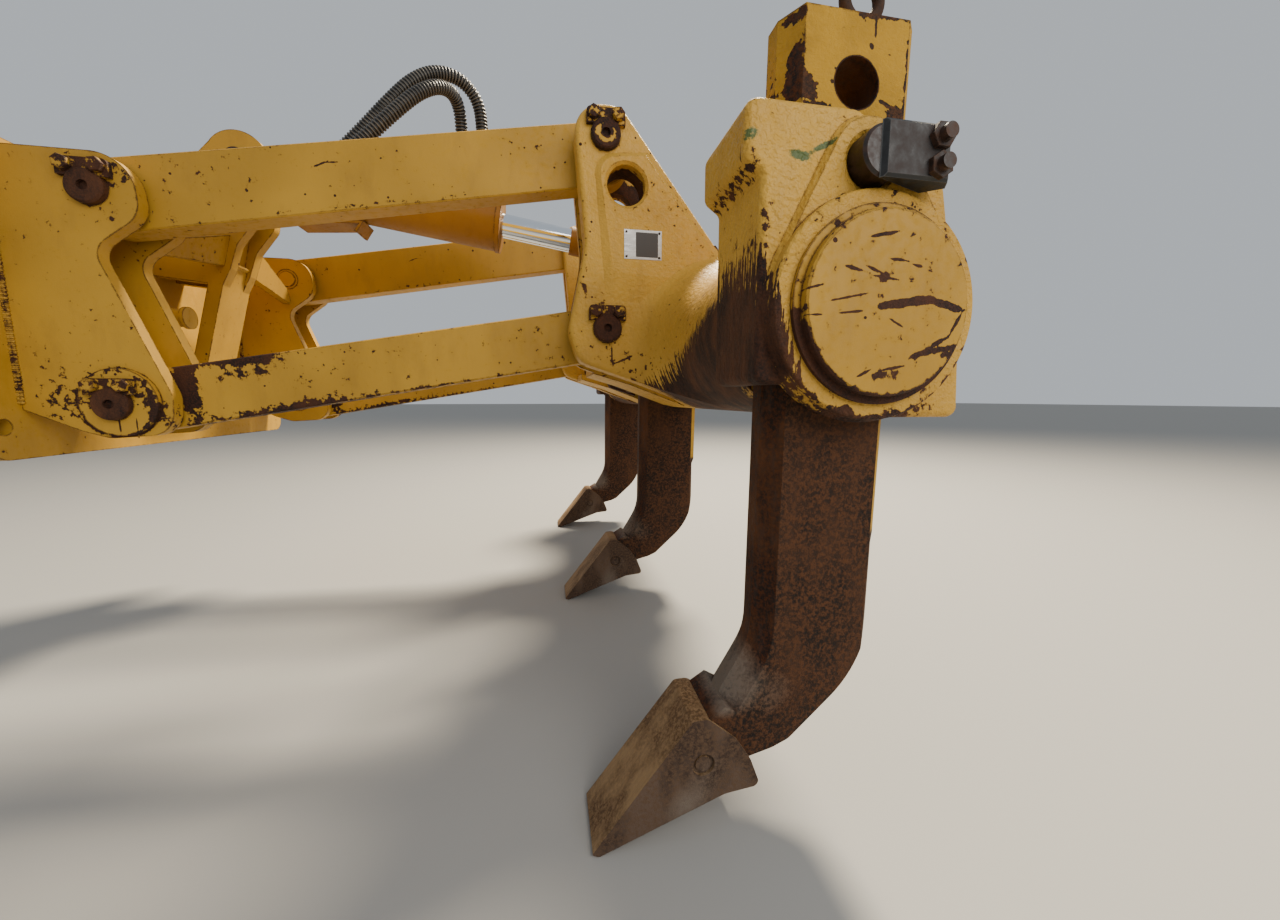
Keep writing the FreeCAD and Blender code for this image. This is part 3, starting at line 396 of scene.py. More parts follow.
def tube_rust(tree, place):
    """Rust below a line that drops towards the ears, with brush marks round the tube."""
    axes = around_tube(tree, place)
    angle = add(tree, "Math", [axes.outputs["Z"], axes.outputs["X"]], operation="ARCTAN2")
    along = add(tree, "Math", [axes.outputs["Y"], brush_stretch], operation="MULTIPLY")
    marks = add(tree, "CombineXYZ", [angle, along, 0.0])
    brush = add(tree, "TexNoise", {"Vector": marks, "Scale": brush_scale, "Detail": 3.0})
    out = add(tree, "Math", [axes.outputs["Y"]], operation="ABSOLUTE")
    line = add(tree, "Math", [out, rust_slope, -rust_slope * rust_start], operation="MULTIPLY_ADD")
    below = add(tree, "Math", [line, axes.outputs["Z"]], operation="SUBTRACT")
    below = add(tree, "Math", [brush, brush_reach, below], operation="MULTIPLY_ADD")
    rubbed = add(tree, "MapRange", {"Value": below, "From Min": rust_line, "From Max": rust_full,
                                    "To Max": rubbed_wear})
    # The inside of the near ear's hole gets the dark steel colour.
    hole_darkened = patch(tree, place, hole_darkening, hole_darkening_size)
    return add(tree, "Math", [hole_darkened, hole_darkening_wear, rubbed], operation="MULTIPLY_ADD")


# %% Rust on the pockets
streak_size = 0.006
streak_reach = 0.30          # a streak moves the line up or down by up to half of this
front_start = 0.148          # rust covers the pocket this far in front of the tube's centre
front_slope = 0.30           # and comes nearer to it by this for each metre down
ragged_size = 0.03
ragged_reach = 0.10
under_slope = 0.12
under_line = -0.096          # and below this height under the tube, fully by under_full
under_full = -0.112


def pocket_rust(tree, place):
    """Rust on a pocket's front and near corner, streaked upright, and under the tube's end."""
    axes = around_tube(tree, place)
    streaks = noise(tree, place, streak_size, 4.0, 0.65, (1.0, 1.0, 0.12))
    level = add(tree, "Math", [streaks, -streak_reach, streak_reach / 2], operation="MULTIPLY_ADD")
    level = add(tree, "Math", [axes.outputs["Z"], level], operation="ADD")
    front = add(tree, "Math", [level, -front_slope, -front_start], operation="MULTIPLY_ADD")
    front = add(tree, "Math", [front, axes.outputs["X"]], operation="SUBTRACT")
    front = add(tree, "MapRange", {"Value": front, "From Min": -0.003, "From Max": 0.004})
    ragged = noise(tree, place, ragged_size, 4.0, 0.6)
    edge = add(tree, "Math", [ragged, ragged_reach, axes.outputs["Z"]], operation="MULTIPLY_ADD")
    edge = add(tree, "Math", [axes.outputs["X"], under_slope, edge], operation="MULTIPLY_ADD")
    under = add(tree, "MapRange", {"Value": edge, "From Min": under_line, "From Max": under_full})
    zone = add(tree, "Math", [front, under], operation="MAXIMUM")
    return add(tree, "Math", [zone, rubbed_wear], operation="MULTIPLY")


# %% Paint of beam, pockets and rear pins
beam_wear = [
    (rear_low.x, rear_low.z, 0.055, 0.055, 0, 0.18),
    (rear_high.x, rear_high.z, 0.055, 0.055, 0, 0.20),
    (1.330, -0.100, 0.0035, 0.030, 0, 0.42),
    (1.362, -0.112, 0.036, 0.0035, 24, 0.40),
    (rear_low.x + 0.06, -0.11, 0.12, 0.05, -20, 0.10),
    (rear_low.x - 0.01, 0.05, 0.03, 0.06, 0, 0.12),
    (rear_low.x - 0.055, 0.10, 0.014, 0.22, 0, 0.14),
    (rear_low.x + 0.03, rear_low.z - 0.08, 0.06, 0.03, 20, 0.08),
]
pocket_wear = [
    (cap.x - 0.185, cap.z + 0.180, 0.030, 0.022, 0, 0.26),
    (cap.x - 0.163, cap.z + 0.100, 0.012, 0.110, 0, 0.20),
    (cap.x + 0.070, cap.z - 0.150, 0.100, 0.030, 0, 0.15),
]
green_smears = [
    (1.431, 0.141, 0.040, 0.018, 10, 1.0),
    (1.512, 0.121, 0.034, 0.014, -10, 1.0),
    (1.547, 0.136, 0.040, 0.009, 25, 1.0),
]
beam_paint = machine_paint("enamel rubbed through on cast ears and tube", cast=0.0030, rust=tube_rust,
                           wear=beam_wear, tones=cast_enamel)
pocket_paint = machine_paint("enamel on coarse cast pocket", cast=0.0055, rust=pocket_rust,
                             wear=pocket_wear, smears=green_smears, tones=cast_enamel,
                             worn_rings=[(cap.x, cap.z, 0.158, 0.009, 0.06, 0.20)])
rear_pin_wear = [
    (rear_low.x, rear_low.z, 0.08, 0.08, 0, 0.50),
    (rear_high.x + 0.01, rear_high.z + 0.025, 0.05, 0.03, 0, 0.35),
]
# A dark ring of grease round the upper rear pin's end, and a dark disc at its centre for the centre hole:
# bare steel and painted shade of the hole.
rear_pin_rings = [
    (rear_high.x, rear_high.z, 0.036, 0.016, 0.6, 0.6),
    (rear_high.x, rear_high.z, 0.0, 0.018, 0.7, 0.7),
]
rear_pin_paint = machine_paint("rear pins, greased, with paint left on their ends", chips=0.06,
                               wear=rear_pin_wear, worn_rings=rear_pin_rings)
keeper_paint = machine_paint("keeper plates and bolts, most of their paint gone", chips=0.23)

# %% [markdown]
# ## Scratches on the end cap
# Rocks have drawn scratches across the cap. Each row below is one of them, in millimetres from the
# cap's centre: where its middle is, its half length, its half width, its slope and how deep it goes.
# Two rings add the band round the cap's side, where the paint is gone along the lower half.

# %% Scratched end cap
scratches = [
    (-15, 90, 36, 3.5, 12, 0.60),
    (-55, 43, 30, 3.5, -11, 0.50),
    (-11, 34, 30, 3, -6, 0.45),
    (-115, 18, 18, 3, 16, 0.50),
    (-67, 6, 50, 2.5, 12, 0.50),
    (-112, -18, 16, 2.5, 2, 0.45),
    (-61, -13, 24, 3, 7, 0.55),
    (12, -26, 18, 2.5, -27, 0.45),
    (8, 0, 44, 8, 9, 0.80),
    (46, 6, 40, 8.5, 5, 0.80),
    (90, 1, 42, 8, -12, 0.80),
    (107, -23, 28, 4, 59, 0.55),
    (72, -62, 56, 7, 13, 0.50),
    (80, -50, 30, 6, 28, 0.50),
    (95, -66, 22, 12, 20, 0.30),
    (10, 58, 26, 3, -4, 0.42),
    (38, 52, 16, 3, -10, 0.42),
    (-37, -95, 24, 3, 26, 0.45),
    (12, -86, 30, 3, 10, 0.40),
    (-8, -98, 40, 14, 5, 0.24),
    (-12, 34, 11, 10, 0, 0.62),
    (-30, 44, 18, 4, -20, 0.50),
]
cap_wear = [(cap.x + x / 1000, cap.z + z / 1000, length / 1000, width / 1000, turn, strength)
            for x, z, length, width, turn, strength in scratches]
cap_paint = machine_paint("scratched enamel on turned cap", chips=0.0, wear=cap_wear,
                          worn_rings=[(cap.x, cap.z, 0.1370, 0.014, 0.02, 0.90),
                                      (cap.x, cap.z, 0.1280, 0.010, 0.08, 0.32)])

# %% [markdown]
# ## Bare and worn steel
# The shanks and tips work in the ground, so what they wear is no paint but rust and grit. Rolled
# shank steel rusts in fine pits with a faint upright grain. Cast tips are ground along their length.
# Pins are brown under their grease, and nearly black where it gathers.

# %% Rusted steel


def rusted(name, tones, grain, pit_size, depth, painted=None, sides=None, dusty=()):
    """Rusted steel in four tones with pits and a grain. sides are three darker tones for faces that look
    sideways, partly their own rust and partly painted shade, painted a function that says where paint
    is left, and dusty a table of patches where pale dust has dried."""
    material, tree, place = new_material(name)
    broad = noise(tree, place, 0.09, 4.0, 0.6, (1.0, 1.0, 0.5))
    lines = noise(tree, place, 0.014, 4.0, 0.65, grain)
    pits = noise(tree, place, pit_size, 5.0, 0.75)
    mottled = add(tree, "MapRange", {"Value": pits, "From Min": 0.43, "From Max": 0.60})
    cloud = add(tree, "MapRange", {"Value": broad, "From Min": 0.44, "From Max": 0.60, "To Max": 0.75})
    streak = add(tree, "MapRange", {"Value": lines, "From Min": 0.50, "From Max": 0.72, "To Max": 0.6})
    colour = layered(tree, tones[0], (mottled, tones[1]), (cloud, tones[2]), (streak, tones[3]))
    # Faces that look sideways take darker tones: partly their rust, partly painted shade.
    if sides:
        facing = add(tree, "SeparateXYZ", [add(tree, "NewGeometry").outputs["Normal"]]).outputs["Y"]
        facing = add(tree, "Math", [facing], operation="ABSOLUTE")
        facing = add(tree, "MapRange", {"Value": facing, "From Min": 0.5, "From Max": 0.8})
        side_rust_and_shade = layered(tree, sides[0], (cloud, sides[1]), (mottled, sides[2]))
        colour = layered(tree, colour, (facing, side_rust_and_shade))
    if dusty:
        dry = patches(tree, place, dusty, 0.0)
        dry = add(tree, "Math", [dry, broad], operation="MULTIPLY")
        dry = add(tree, "Math", [dry, pits], operation="MULTIPLY")
        dry = add(tree, "MapRange", {"Value": dry, "From Min": 0.07, "From Max": 0.30, "To Max": 0.7})
        colour = layered(tree, colour, (dry, "776d62"))
    height = add(tree, "Math", [pits, depth], operation="MULTIPLY")
    rough = add(tree, "MapRange", {"Value": pits, "From Min": 0.3, "From Max": 0.7,
                                   "To Min": 0.60, "To Max": 0.9})
    if painted:
        left, shade = painted(tree, place)
        colour = layered(tree, colour, (left, shade))
        height = add(tree, "Math", [left, coat_depth, height], operation="MULTIPLY_ADD")
    bump = add(tree, "Bump", {"Height": height, "Distance": 1.0, "Strength": 0.8})
    shader = add(tree, "BsdfPrincipled", {"Base Color": colour, "Roughness": rough, "Normal": bump,
                                          "Specular IOR Level": 0.25})
    finished(tree, shader)
    return material


# %% Paint left on the shanks
paint_line = 0.245           # paint is left on a shank this far above the tube's centre
step_line = -0.353           # and down its rear edge to its step
rear_edge = 0.060            # that edge at the height of the tube's centre
lean = 0.0169                # it leans rearwards by this for each metre up
shank_chips = [              # from the tube's centre, where paint is gone above the pocket
    (-0.105, 0.408, 0.018, 0.016, 0, 0.45),
    (-0.104, 0.350, 0.014, 0.040, -4, 0.45),
    (-0.095, 0.310, 0.036, 0.034, -30, 0.50),
    (-0.070, 0.285, 0.030, 0.018, 0, 0.45),
    (-0.128, 0.330, 0.014, 0.100, 0, 0.30),
    (0.020, 0.416, 0.070, 0.010, 0, 0.35),
    (0.013, 0.398, 0.004, 0.018, 0, 0.45),
    (0.008, 0.376, 0.006, 0.008, 40, 0.45),
    (0.038, 0.368, 0.005, 0.003, 0, 0.45),
    (0.068, 0.350, 0.008, 0.090, 0, 0.35),
    (0.056, 0.285, 0.032, 0.036, 30, 0.48),
    (0.035, 0.302, 0.022, 0.005, -20, 0.45),
    (-0.053, 0.322, 0.005, 0.005, 0, 0.40),
    (-0.048, 0.340, 0.003, 0.003, 0, 0.45),
]


def shank_paint(tree, place):
    """Where paint is left on a shank, above its pocket and down its rear edge, and its colour."""
    axes = around_tube(tree, place)
    local = add(tree, "VectorMath", [place, (cap.x, 0, cap.z)], operation="SUBTRACT")
    flakes = noise(tree, place, 0.016, 4.0, 0.6)
    top = add(tree, "MapRange", {"Value": axes.outputs["Z"], "From Min": paint_line,
                                 "From Max": paint_line + 0.004})
    upright = add(tree, "Math", [axes.outputs["Z"], -lean, axes.outputs["X"]], operation="MULTIPLY_ADD")
    rear = add(tree, "MapRange", {"Value": upright, "From Min": rear_edge + 0.002,
                                  "From Max": rear_edge + 0.005})
    above = add(tree, "MapRange", {"Value": axes.outputs["Z"], "From Min": step_line,
                                   "From Max": step_line + 0.01})
    edge = add(tree, "Math", [rear, above], operation="MULTIPLY")
    zone = add(tree, "Math", [top, edge], operation="MAXIMUM")
    lost = add(tree, "Math", [edges(tree), 0.22, flakes], operation="MULTIPLY_ADD")
    lost = patches(tree, local, shank_chips, lost)
    lost = rings(tree, local, [(near_pin.x - cap.x, 0.325, 0.0, 0.0375, 9.0, 9.0)], lost)
    kept = add(tree, "MapRange", {"Value": lost, "From Min": 0.72, "From Max": 0.70})
    film = noise(tree, place, film_size, 4.0, 0.6)
    dull = add(tree, "MapRange", {"Value": film, "From Min": 0.45, "From Max": 0.70})
    shade = layered(tree, enamel[0], (dull, enamel[1]))
    return add(tree, "Math", [kept, zone], operation="MULTIPLY"), shade


# %% Steel of shanks, tips and lifting eyes
bend_dust = [                # on the bend above the tip, from the photograph
    (1.450, -0.655, 0.070, 0.090, 0, 1.10),
    (1.430, -0.700, 0.050, 0.040, 0, 0.90),
    (1.500, -0.700, 0.110, 0.100, 20, 0.50),
]
tip_dust = [
    (1.400, -0.830, 0.120, 0.060, 45, 0.50),
    (1.370, -0.880, 0.080, 0.045, 20, 0.45),
]
# The sides of shanks and tips are darker: partly their rust, partly painted shade.
shank_steel = rusted("rusted rolled shank steel", ("1a0d07", "4f2a12", "5f3a1e", "3a2f2a"),
                     (1.0, 1.0, 0.25), 0.0065, 0.0040, painted=shank_paint,
                     sides=("140b06", "402716", "54341e"), dusty=bend_dust)
tip_steel = rusted("ground cast tip steel", ("513a22", "86694a", "9a7d58", "604730"),
                   (0.12, 2.2, 0.12), 0.006, 0.0020, sides=("362820", "655244", "5a4534"), dusty=tip_dust)
eye_steel = rusted("rusted forged bar", ("24140d", "3f281a", "4d382a", "2c1c14"),
                   (1.0, 1.0, 1.0), 0.004, 0.0015)

# %% Greased pins and keeper blocks
studs_start = 0.1400         # a stud stands out this far from the middle of its shank
painted_end = 0.36           # a front pin is painted up to this far from the middle


def greased(name, tones, metallic, gloss, scale, rusty=None):
    """Dark steel with grease on it, glossy where the grease is thick. rusty is a function that says
    where it is brown instead."""
    material, tree, place = new_material(name)
    smear = noise(tree, place, scale, 4.0, 0.6)
    thick = add(tree, "MapRange", {"Value": smear, "From Min": 0.42, "From Max": 0.62})
    edge = edges(tree, 0.003)
    colour = layered(tree, tones[0], (thick, tones[1]), (edge, tones[2]))
    if rusty:
        colour = layered(tree, colour, (rusty(tree, place), layered(tree, "24150e", (thick, "40281a"))))
    rough = add(tree, "MapRange", {"Value": smear, "From Min": 0.35, "From Max": 0.65,
                                   "To Min": gloss, "To Max": gloss + 0.3})
    height = add(tree, "Math", [smear, 0.0006], operation="MULTIPLY")
    bump = add(tree, "Bump", {"Height": height, "Distance": 1.0, "Strength": 0.8})
    shader = add(tree, "BsdfPrincipled", {"Base Color": colour, "Roughness": rough,
                                          "Metallic": metallic, "Normal": bump})
    finished(tree, shader)
    return material


pin_steel = greased("greased pin steel", ("130c0a", "2c1911", "4a2f20"), 0.0, 0.30, 0.012)


def studs(tree, place):
    """The studs and nuts that stand out of the keeper blocks. The shanks are a metre apart."""
    across = add(tree, "SeparateXYZ", [place]).outputs["Y"]
    across = add(tree, "Math", [across], operation="ABSOLUTE")
    out = add(tree, "Math", [across], operation="FRACT")
    return add(tree, "MapRange", {"Value": out, "From Min": studs_start, "From Max": studs_start + 0.0008})


block_steel = greased("scuffed blued keeper block", ("131518", "23272b", "55585a"), 0.0, 0.50, 0.016,
                      rusty=studs)
nut_steel = greased("rusted nuts and studs", ("23140d", "3d2517", "50341f"), 0.0, 0.55, 0.010)


def outer_ends(tree, place):
    """Bare steel outboard of the plates, paint on the inner ends."""
    across = add(tree, "SeparateXYZ", [place]).outputs["Y"]
    across = add(tree, "Math", [across], operation="ABSOLUTE")
    return add(tree, "MapRange", {"Value": across, "From Min": painted_end, "From Max": painted_end + 0.01})


front_pin_paint = machine_paint("front pins, painted at their inner ends", chips=0.02, rust=outer_ends)

# %% Chrome and hose guard


def chromed():
    """Hard chrome, ground round the rod, with a faint bluish sheen."""
    material, tree, place = new_material("hard chrome on the rod")
    marks = noise(tree, place, 0.004, 2.0, 0.5, (0.1, 1.0, 1.0))
    rough = add(tree, "MapRange", {"Value": marks, "From Min": 0.3, "From Max": 0.7,
                                   "To Min": 0.05, "To Max": 0.14})
    shader = add(tree, "BsdfPrincipled", {"Base Color": linear("dfe4ea"), "Roughness": rough,
                                          "Metallic": 1.0})
    finished(tree, shader)
    return material


def hose_guard():
    """Black plastic guard, its crests greyed by dust and by a painted sky highlight."""
    material, tree, place = new_material("black spiral hose guard")
    dust = noise(tree, place, 0.05, 4.0, 0.6)
    crest_dust_and_sheen = add(tree, "MapRange", {"Value": dust, "From Min": 0.35, "From Max": 0.65, "To Min": 0.35})
    # Grey on the rib crests: dust, and a painted highlight where the sky lights them.
    crest = add(tree, "Attribute", attribute_name="crest").outputs["Fac"]
    crest = add(tree, "Math", [crest, 3.0], operation="POWER")
    crest_dust_and_sheen = add(tree, "Math", [crest_dust_and_sheen, crest], operation="MULTIPLY")
    colour = layered(tree, "060607", (crest_dust_and_sheen, "6a645a"))
    shader = add(tree, "BsdfPrincipled", {"Base Color": colour, "Roughness": 0.45})
    finished(tree, shader)
    return material


chrome = chromed()
guard = hose_guard()

# %% [markdown]
# ## Which piece wears which finish
# The record names a slot for each node. Within a slot the real pieces still differ, so a short
# table by the start of the node's name says which finish it gets. The first start that fits wins.

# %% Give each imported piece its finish
finish_of = [
    ("mount_outer", bracket_paint),
    ("mount_", welded_paint),
    ("hose_bulkhead", welded_paint),
    ("upper_link", upper_link_paint),
    ("lower_link", lower_link_paint),
    ("beam_", beam_paint),
    ("pocket_", pocket_paint),
    ("end_cap", cap_paint),
    ("cylinder_barrel", cylinder_paint),
    ("rod_eye", cylinder_paint),
    ("cylinder_rod", chrome),
    ("tip_", tip_steel),
    ("shank_pin", pin_steel),
    ("shank_", shank_steel),
    ("lifting_eyes", eye_steel),
    ("front_pins", front_pin_paint),
    ("keeper_block", block_steel),
    ("front_pin_keepers", keeper_paint),
    ("rear_pin_keepers", keeper_paint),
    ("rear_pins", rear_pin_paint),
    ("hose_", guard),
    ("", pin_steel),
]
for name, node in nodes.items():
    finish = next(material for start, material in finish_of if name.startswith(start))
    node.data.materials.clear()
    node.data.materials.append(finish)

# %% [markdown]
# ## New pieces
# Each new piece is a bmesh that operators shape, put into an object that sits at the origin, so
# its mesh holds its place as a imported node's does. One function turns a bmesh into such an object,
# gives it its finish, and lets it ride on its body.

# %% Helper for new pieces


def piece(name, bm, material, body=None):
    """Object at the origin from a finished bmesh."""
    bmesh.ops.recalc_face_normals(bm, faces=bm.faces)
    mesh = bpy.data.meshes.new(name)
    bm.to_mesh(mesh)
    bm.free()
    made = bpy.data.objects.new(name, mesh)
    bpy.context.scene.collection.objects.link(made)
    mesh.materials.append(material)
    if body:
        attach(made, body)
    print(name, "faces", len(mesh.polygons))
    return made


# %% [markdown]
# ## Hydraulic hoses
# Two hoses bring oil from the bracket to the lift cylinder, and bend as it lifts. Each is one smooth
# NURBS curve, near its solid and lower at the arch, as the photograph shows it. A ring of vertices
# is extruded along points read from that curve, swelling and shrinking for the ribs of the black
# guard wound round the hose. The function that lays the ribs also lays the weld beads below.

# %% Lines of the hoses
hose_lines = {
    "hose_outer": [
        (0.3503, -0.150, 0.352),
        (0.450, -0.150, 0.352),
        (0.550, -0.150, 0.420),
        (0.655, -0.146, 0.528),
        (0.742, -0.134, 0.634),
        (0.806, -0.112, 0.714),
        (0.868, -0.078, 0.764),
        (0.932, -0.040, 0.772),
        (0.977, -0.008, 0.730),
        (0.985, 0.0, 0.650),
        (0.985, 0.0, 0.5003),
    ],
    "hose_inner": [
        (0.3503, -0.206, 0.352),
        (0.450, -0.206, 0.352),
        (0.570, -0.204, 0.395),
        (0.690, -0.200, 0.496),
        (0.770, -0.190, 0.582),
        (0.834, -0.162, 0.658),
        (0.886, -0.118, 0.704),
        (0.918, -0.050, 0.712),
        (0.922, 0.0, 0.650),
        (0.922, 0.0, 0.5003),
    ],
}


def line_points(name, route):
    """Points along the smooth NURBS line of a route."""
    curve = bpy.data.curves.new(name + "_line", "CURVE")
    curve.dimensions = "3D"
    curve.resolution_u = 24
    spline = curve.splines.new("NURBS")
    spline.points.add(len(route) - 1)
    for point, spot in zip(spline.points, route):
        point.co = (*spot, 1.0)
    spline.order_u = 3
    spline.use_endpoint_u = True
    holder = bpy.data.objects.new(name + "_line", curve)
    bpy.context.scene.collection.objects.link(holder)
    bpy.context.view_layer.update()
    mesh = bpy.data.meshes.new_from_object(holder)
    points = [vertex.co.copy() for vertex in mesh.vertices]
    bpy.data.objects.remove(holder)
    bpy.data.meshes.remove(mesh)
    return points


# %% Ribbed guard along each hose
hose_radius = 0.0195
hose_rib = 0.0035
hose_pitch = 0.0100
hose_sides = 20
rib_profile = (0.0, 0.8, 1.0, 0.8, 0.0)  # share of the rib's height at each fifth of its pitch


def even_steps(points, step):
    """Places every step along a line, each with the line's direction there."""
    places = []
    walked = 0.0
    due = 0.0
    for start, end in zip(points, points[1:]):
        run = end - start
        while due <= walked + run.length:
            places.append((start + run * ((due - walked) / run.length), run.normalized()))
            due += step
        walked += run.length
    return places


def ribbed(bm, points, radius, depth, pitch, sides):
    """Ring extruded from step to step, wide on the ribs and narrow between them, closed at both ends."""
    crest = bm.verts.layers.float.get("crest") or bm.verts.layers.float.new("crest")
    places = even_steps(points, pitch / len(rib_profile))
    spot, heading = places[0]
    stand = Matrix.Translation(spot) @ heading.to_track_quat("Z", "Y").to_matrix().to_4x4()
    ring = bmesh.ops.create_circle(bm, segments=sides, radius=1.0, matrix=stand)["verts"]
    rim = list({e for v in ring for e in v.link_edges})
    size = 1.0
    for count, (ahead, facing) in enumerate(places):
        if count:
            made = bmesh.ops.extrude_edge_only(bm, edges=rim)["geom"]
            ring = [v for v in made if isinstance(v, bmesh.types.BMVert)]
            rim = [e for e in made if isinstance(e, bmesh.types.BMEdge)]
            rim = [e for e in rim if e.verts[0] in ring and e.verts[1] in ring]
        rise = rib_profile[count % len(rib_profile)]
        wanted = radius - depth * (1 - rise)
        turn = heading.rotation_difference(facing).to_matrix()
        for vertex in ring:
            vertex.co = ahead + turn @ (vertex.co - spot) * (wanted / size)
            vertex[crest] = rise
        spot, heading, size = ahead, facing, wanted
    bmesh.ops.holes_fill(bm, edges=[e for e in bm.edges if e.is_boundary])


# %% Both hoses, from bracket to barrel
for name, route in hose_lines.items():
    points = line_points(name, route)
    bm = bmesh.new()
    ribbed(bm, points, hose_radius, hose_rib, hose_pitch, hose_sides)
    guarded = piece(name + "_guard", bm, guard)
    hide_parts(name)
    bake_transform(guarded)

# %% [markdown]
# ## Weld beads
# The four side plates are welded to the back plate, up both faces. A bead cools in ripples a few
# millimetres apart, so it is the hose's ribbed ring again, laid into the corner: only the quarter
# that faces out shows. Paint is thin on its ripples, so it rusts there first. Where a plate meets
# the back plate is read from its own mesh. Each bead is its own bmesh first, because an operator
# takes longer the more a bmesh already holds.

# %% Weld beads on the bracket
weld_radius = 0.009
weld_ripple = 0.0018
weld_pitch = 0.008
weld_sides = 10
weld_end = 0.012             # the bead stops this far from the plate's ends
weld_touch = 0.001           # a plate's points this near to the back plate touch it
weld_paint = machine_paint("enamel over weld beads, rusting where it is thin", chips=0.13)
weld_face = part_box("mount_outer_plate_left")[0][0]  # where the side plates stand on the back plate
welds = bmesh.new()
for name in ("outer_plate_left", "inner_plate_left", "inner_plate_right", "outer_plate_right"):
    foot = [v.co for v in nodes["mount_" + name].data.vertices if v.co.x < weld_face + weld_touch]
    low = min(v.z for v in foot) + weld_end
    high = max(v.z for v in foot) - weld_end
    for across in (min(v.y for v in foot), max(v.y for v in foot)):
        line = [Vector((weld_face, across, low)), Vector((weld_face, across, high))]
        bm = bmesh.new()
        ribbed(bm, line, weld_radius, weld_ripple, weld_pitch, weld_sides)
        bead = bpy.data.meshes.new("weld_bead")
        bm.to_mesh(bead)
        bm.free()
        welds.from_mesh(bead)
        bpy.data.meshes.remove(bead)
    print("weld on", name, "from", round(low, 3), "to", round(high, 3))
piece("bracket_welds", welds, weld_paint, "mount")

# %% [markdown]
# ## Data plate
# A thin aluminium plate is riveted to the near ear. It is left blank, with a plain dark field
# on its rear part.

# %% Data plate with its rivets
plate_centre = Vector((1.4084, -0.5232, 0.1659))
plate_size = Vector((0.095, 0.0012, 0.070))
plate_edge = 0.0004
field_shift = Vector((0.010, -0.0007, 0))
field_size = Vector((0.056, 0.0004, 0.058))
rivet_radius = 0.003
rivet_inset = 0.006          # from the plate's edges


def bar(bm, centre, size, edge=0.0):
    """Block with its edges taken off."""
    made = bmesh.ops.create_cube(bm, size=1.0)["verts"]
    bmesh.ops.scale(bm, vec=size, verts=made)
    bmesh.ops.translate(bm, vec=centre, verts=made)
    if edge:
        rims = list({e for v in made for e in v.link_edges})
        bmesh.ops.bevel(bm, geom=rims, offset=edge, segments=2, profile=0.5, affect="EDGES", material=-1)


def aluminium():
    """Rolled aluminium sheet, brushed along its length."""
    material, tree, place = new_material("brushed aluminium plate")
    marks = noise(tree, place, 0.0015, 2.0, 0.5, (0.05, 1.0, 1.0))
    rough = add(tree, "MapRange", {"Value": marks, "From Min": 0.3, "From Max": 0.7,
                                   "To Min": 0.30, "To Max": 0.50})
    shader = add(tree, "BsdfPrincipled", {"Base Color": linear("94928f"), "Roughness": rough,
                                          "Metallic": 1.0})
    finished(tree, shader)
    return material


sheet_metal = aluminium()
bm = bmesh.new()
bar(bm, plate_centre, plate_size, plate_edge)
piece("data_plate", bm, sheet_metal, "beam")
field_ink, field_tree = new_material("dark blank field on the plate")[:2]
finished(field_tree, add(field_tree, "BsdfPrincipled", {"Base Color": linear("2a221d"), "Roughness": 0.5}))
bm = bmesh.new()
bar(bm, plate_centre + field_shift, field_size)
piece("data_plate_field", bm, field_ink, "beam")
bm = bmesh.new()
for across in (-1, 1):
    for up in (-1, 1):
        corner = Vector((across * (plate_size.x / 2 - rivet_inset), -plate_size.y / 2,
                         up * (plate_size.z / 2 - rivet_inset)))
        made = bmesh.ops.create_uvsphere(bm, u_segments=12, v_segments=6, radius=rivet_radius)["verts"]
        bmesh.ops.translate(bm, verts=made, vec=plate_centre + corner)
piece("data_plate_rivets", bm, pin_steel, "beam")

# %% [markdown]
# ## Bolt heads
# Each keeper plate is held by two bolts, and each keeper block by two studs with nuts. The solids
# have round heads and nuts, so a hexagon with a rounded top goes over each of them.

# %% Hexagon heads
head_flats = 0.0262
head_height = 0.0125
solid_head = 0.011           # the solid's round heads stand out of their plate by this
boss_height = 0.012          # the lower front plates sit on a boss, which the upper ones lack
keeper_bolt_x = 0.029
keeper_bolt_z = 0.0402
head_turn = 0.4              # each head is turned a little differently, as a spanner leaves it
turn_step = 9.0


def hexagon(bm, centre, side, flats, height, turn):
    """Hexagon head along Y, standing out from centre to one side, its top edge rounded."""
    radius = flats / math.sqrt(3)
    stand = (Matrix.Translation(centre + Vector((0, side * height / 2, 0)))
             @ Matrix.Rotation(-side * math.pi / 2, 4, "X") @ Matrix.Rotation(turn, 4, "Z"))
    made = bmesh.ops.create_cone(bm, cap_ends=True, segments=6, radius1=radius, radius2=radius,
                                 depth=height, matrix=stand)["verts"]
    top = centre.y + side * height
    rims = [e for e in {e for v in made for e in v.link_edges}
            if all(abs(v.co.y - top) < 1e-5 for v in e.verts)]
    bmesh.ops.bevel(bm, geom=rims, offset=height / 6, segments=2, profile=0.5, affect="EDGES",
                    material=-1)


# %% Heads on the keeper plates, nuts on the keeper blocks
for body, node, pins in (("mount", "front_pin_keepers", (front_low, front_high)),
                         ("beam", "rear_pin_keepers", (rear_low, rear_high))):
    bm = bmesh.new()
    outer = abs(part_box(node)[0][1])
    for pin in pins:
        face = outer - solid_head
        if body == "mount" and pin is front_high:
            face -= boss_height
        for side in (-1, 1):
            for shift in (-keeper_bolt_x, keeper_bolt_x):
                hexagon(bm, Vector((pin.x + shift, side * face, pin.z + keeper_bolt_z)), side,
                        head_flats, head_height, head_turn + turn_step * shift)
    piece(node + "_heads", bm, keeper_paint, body)

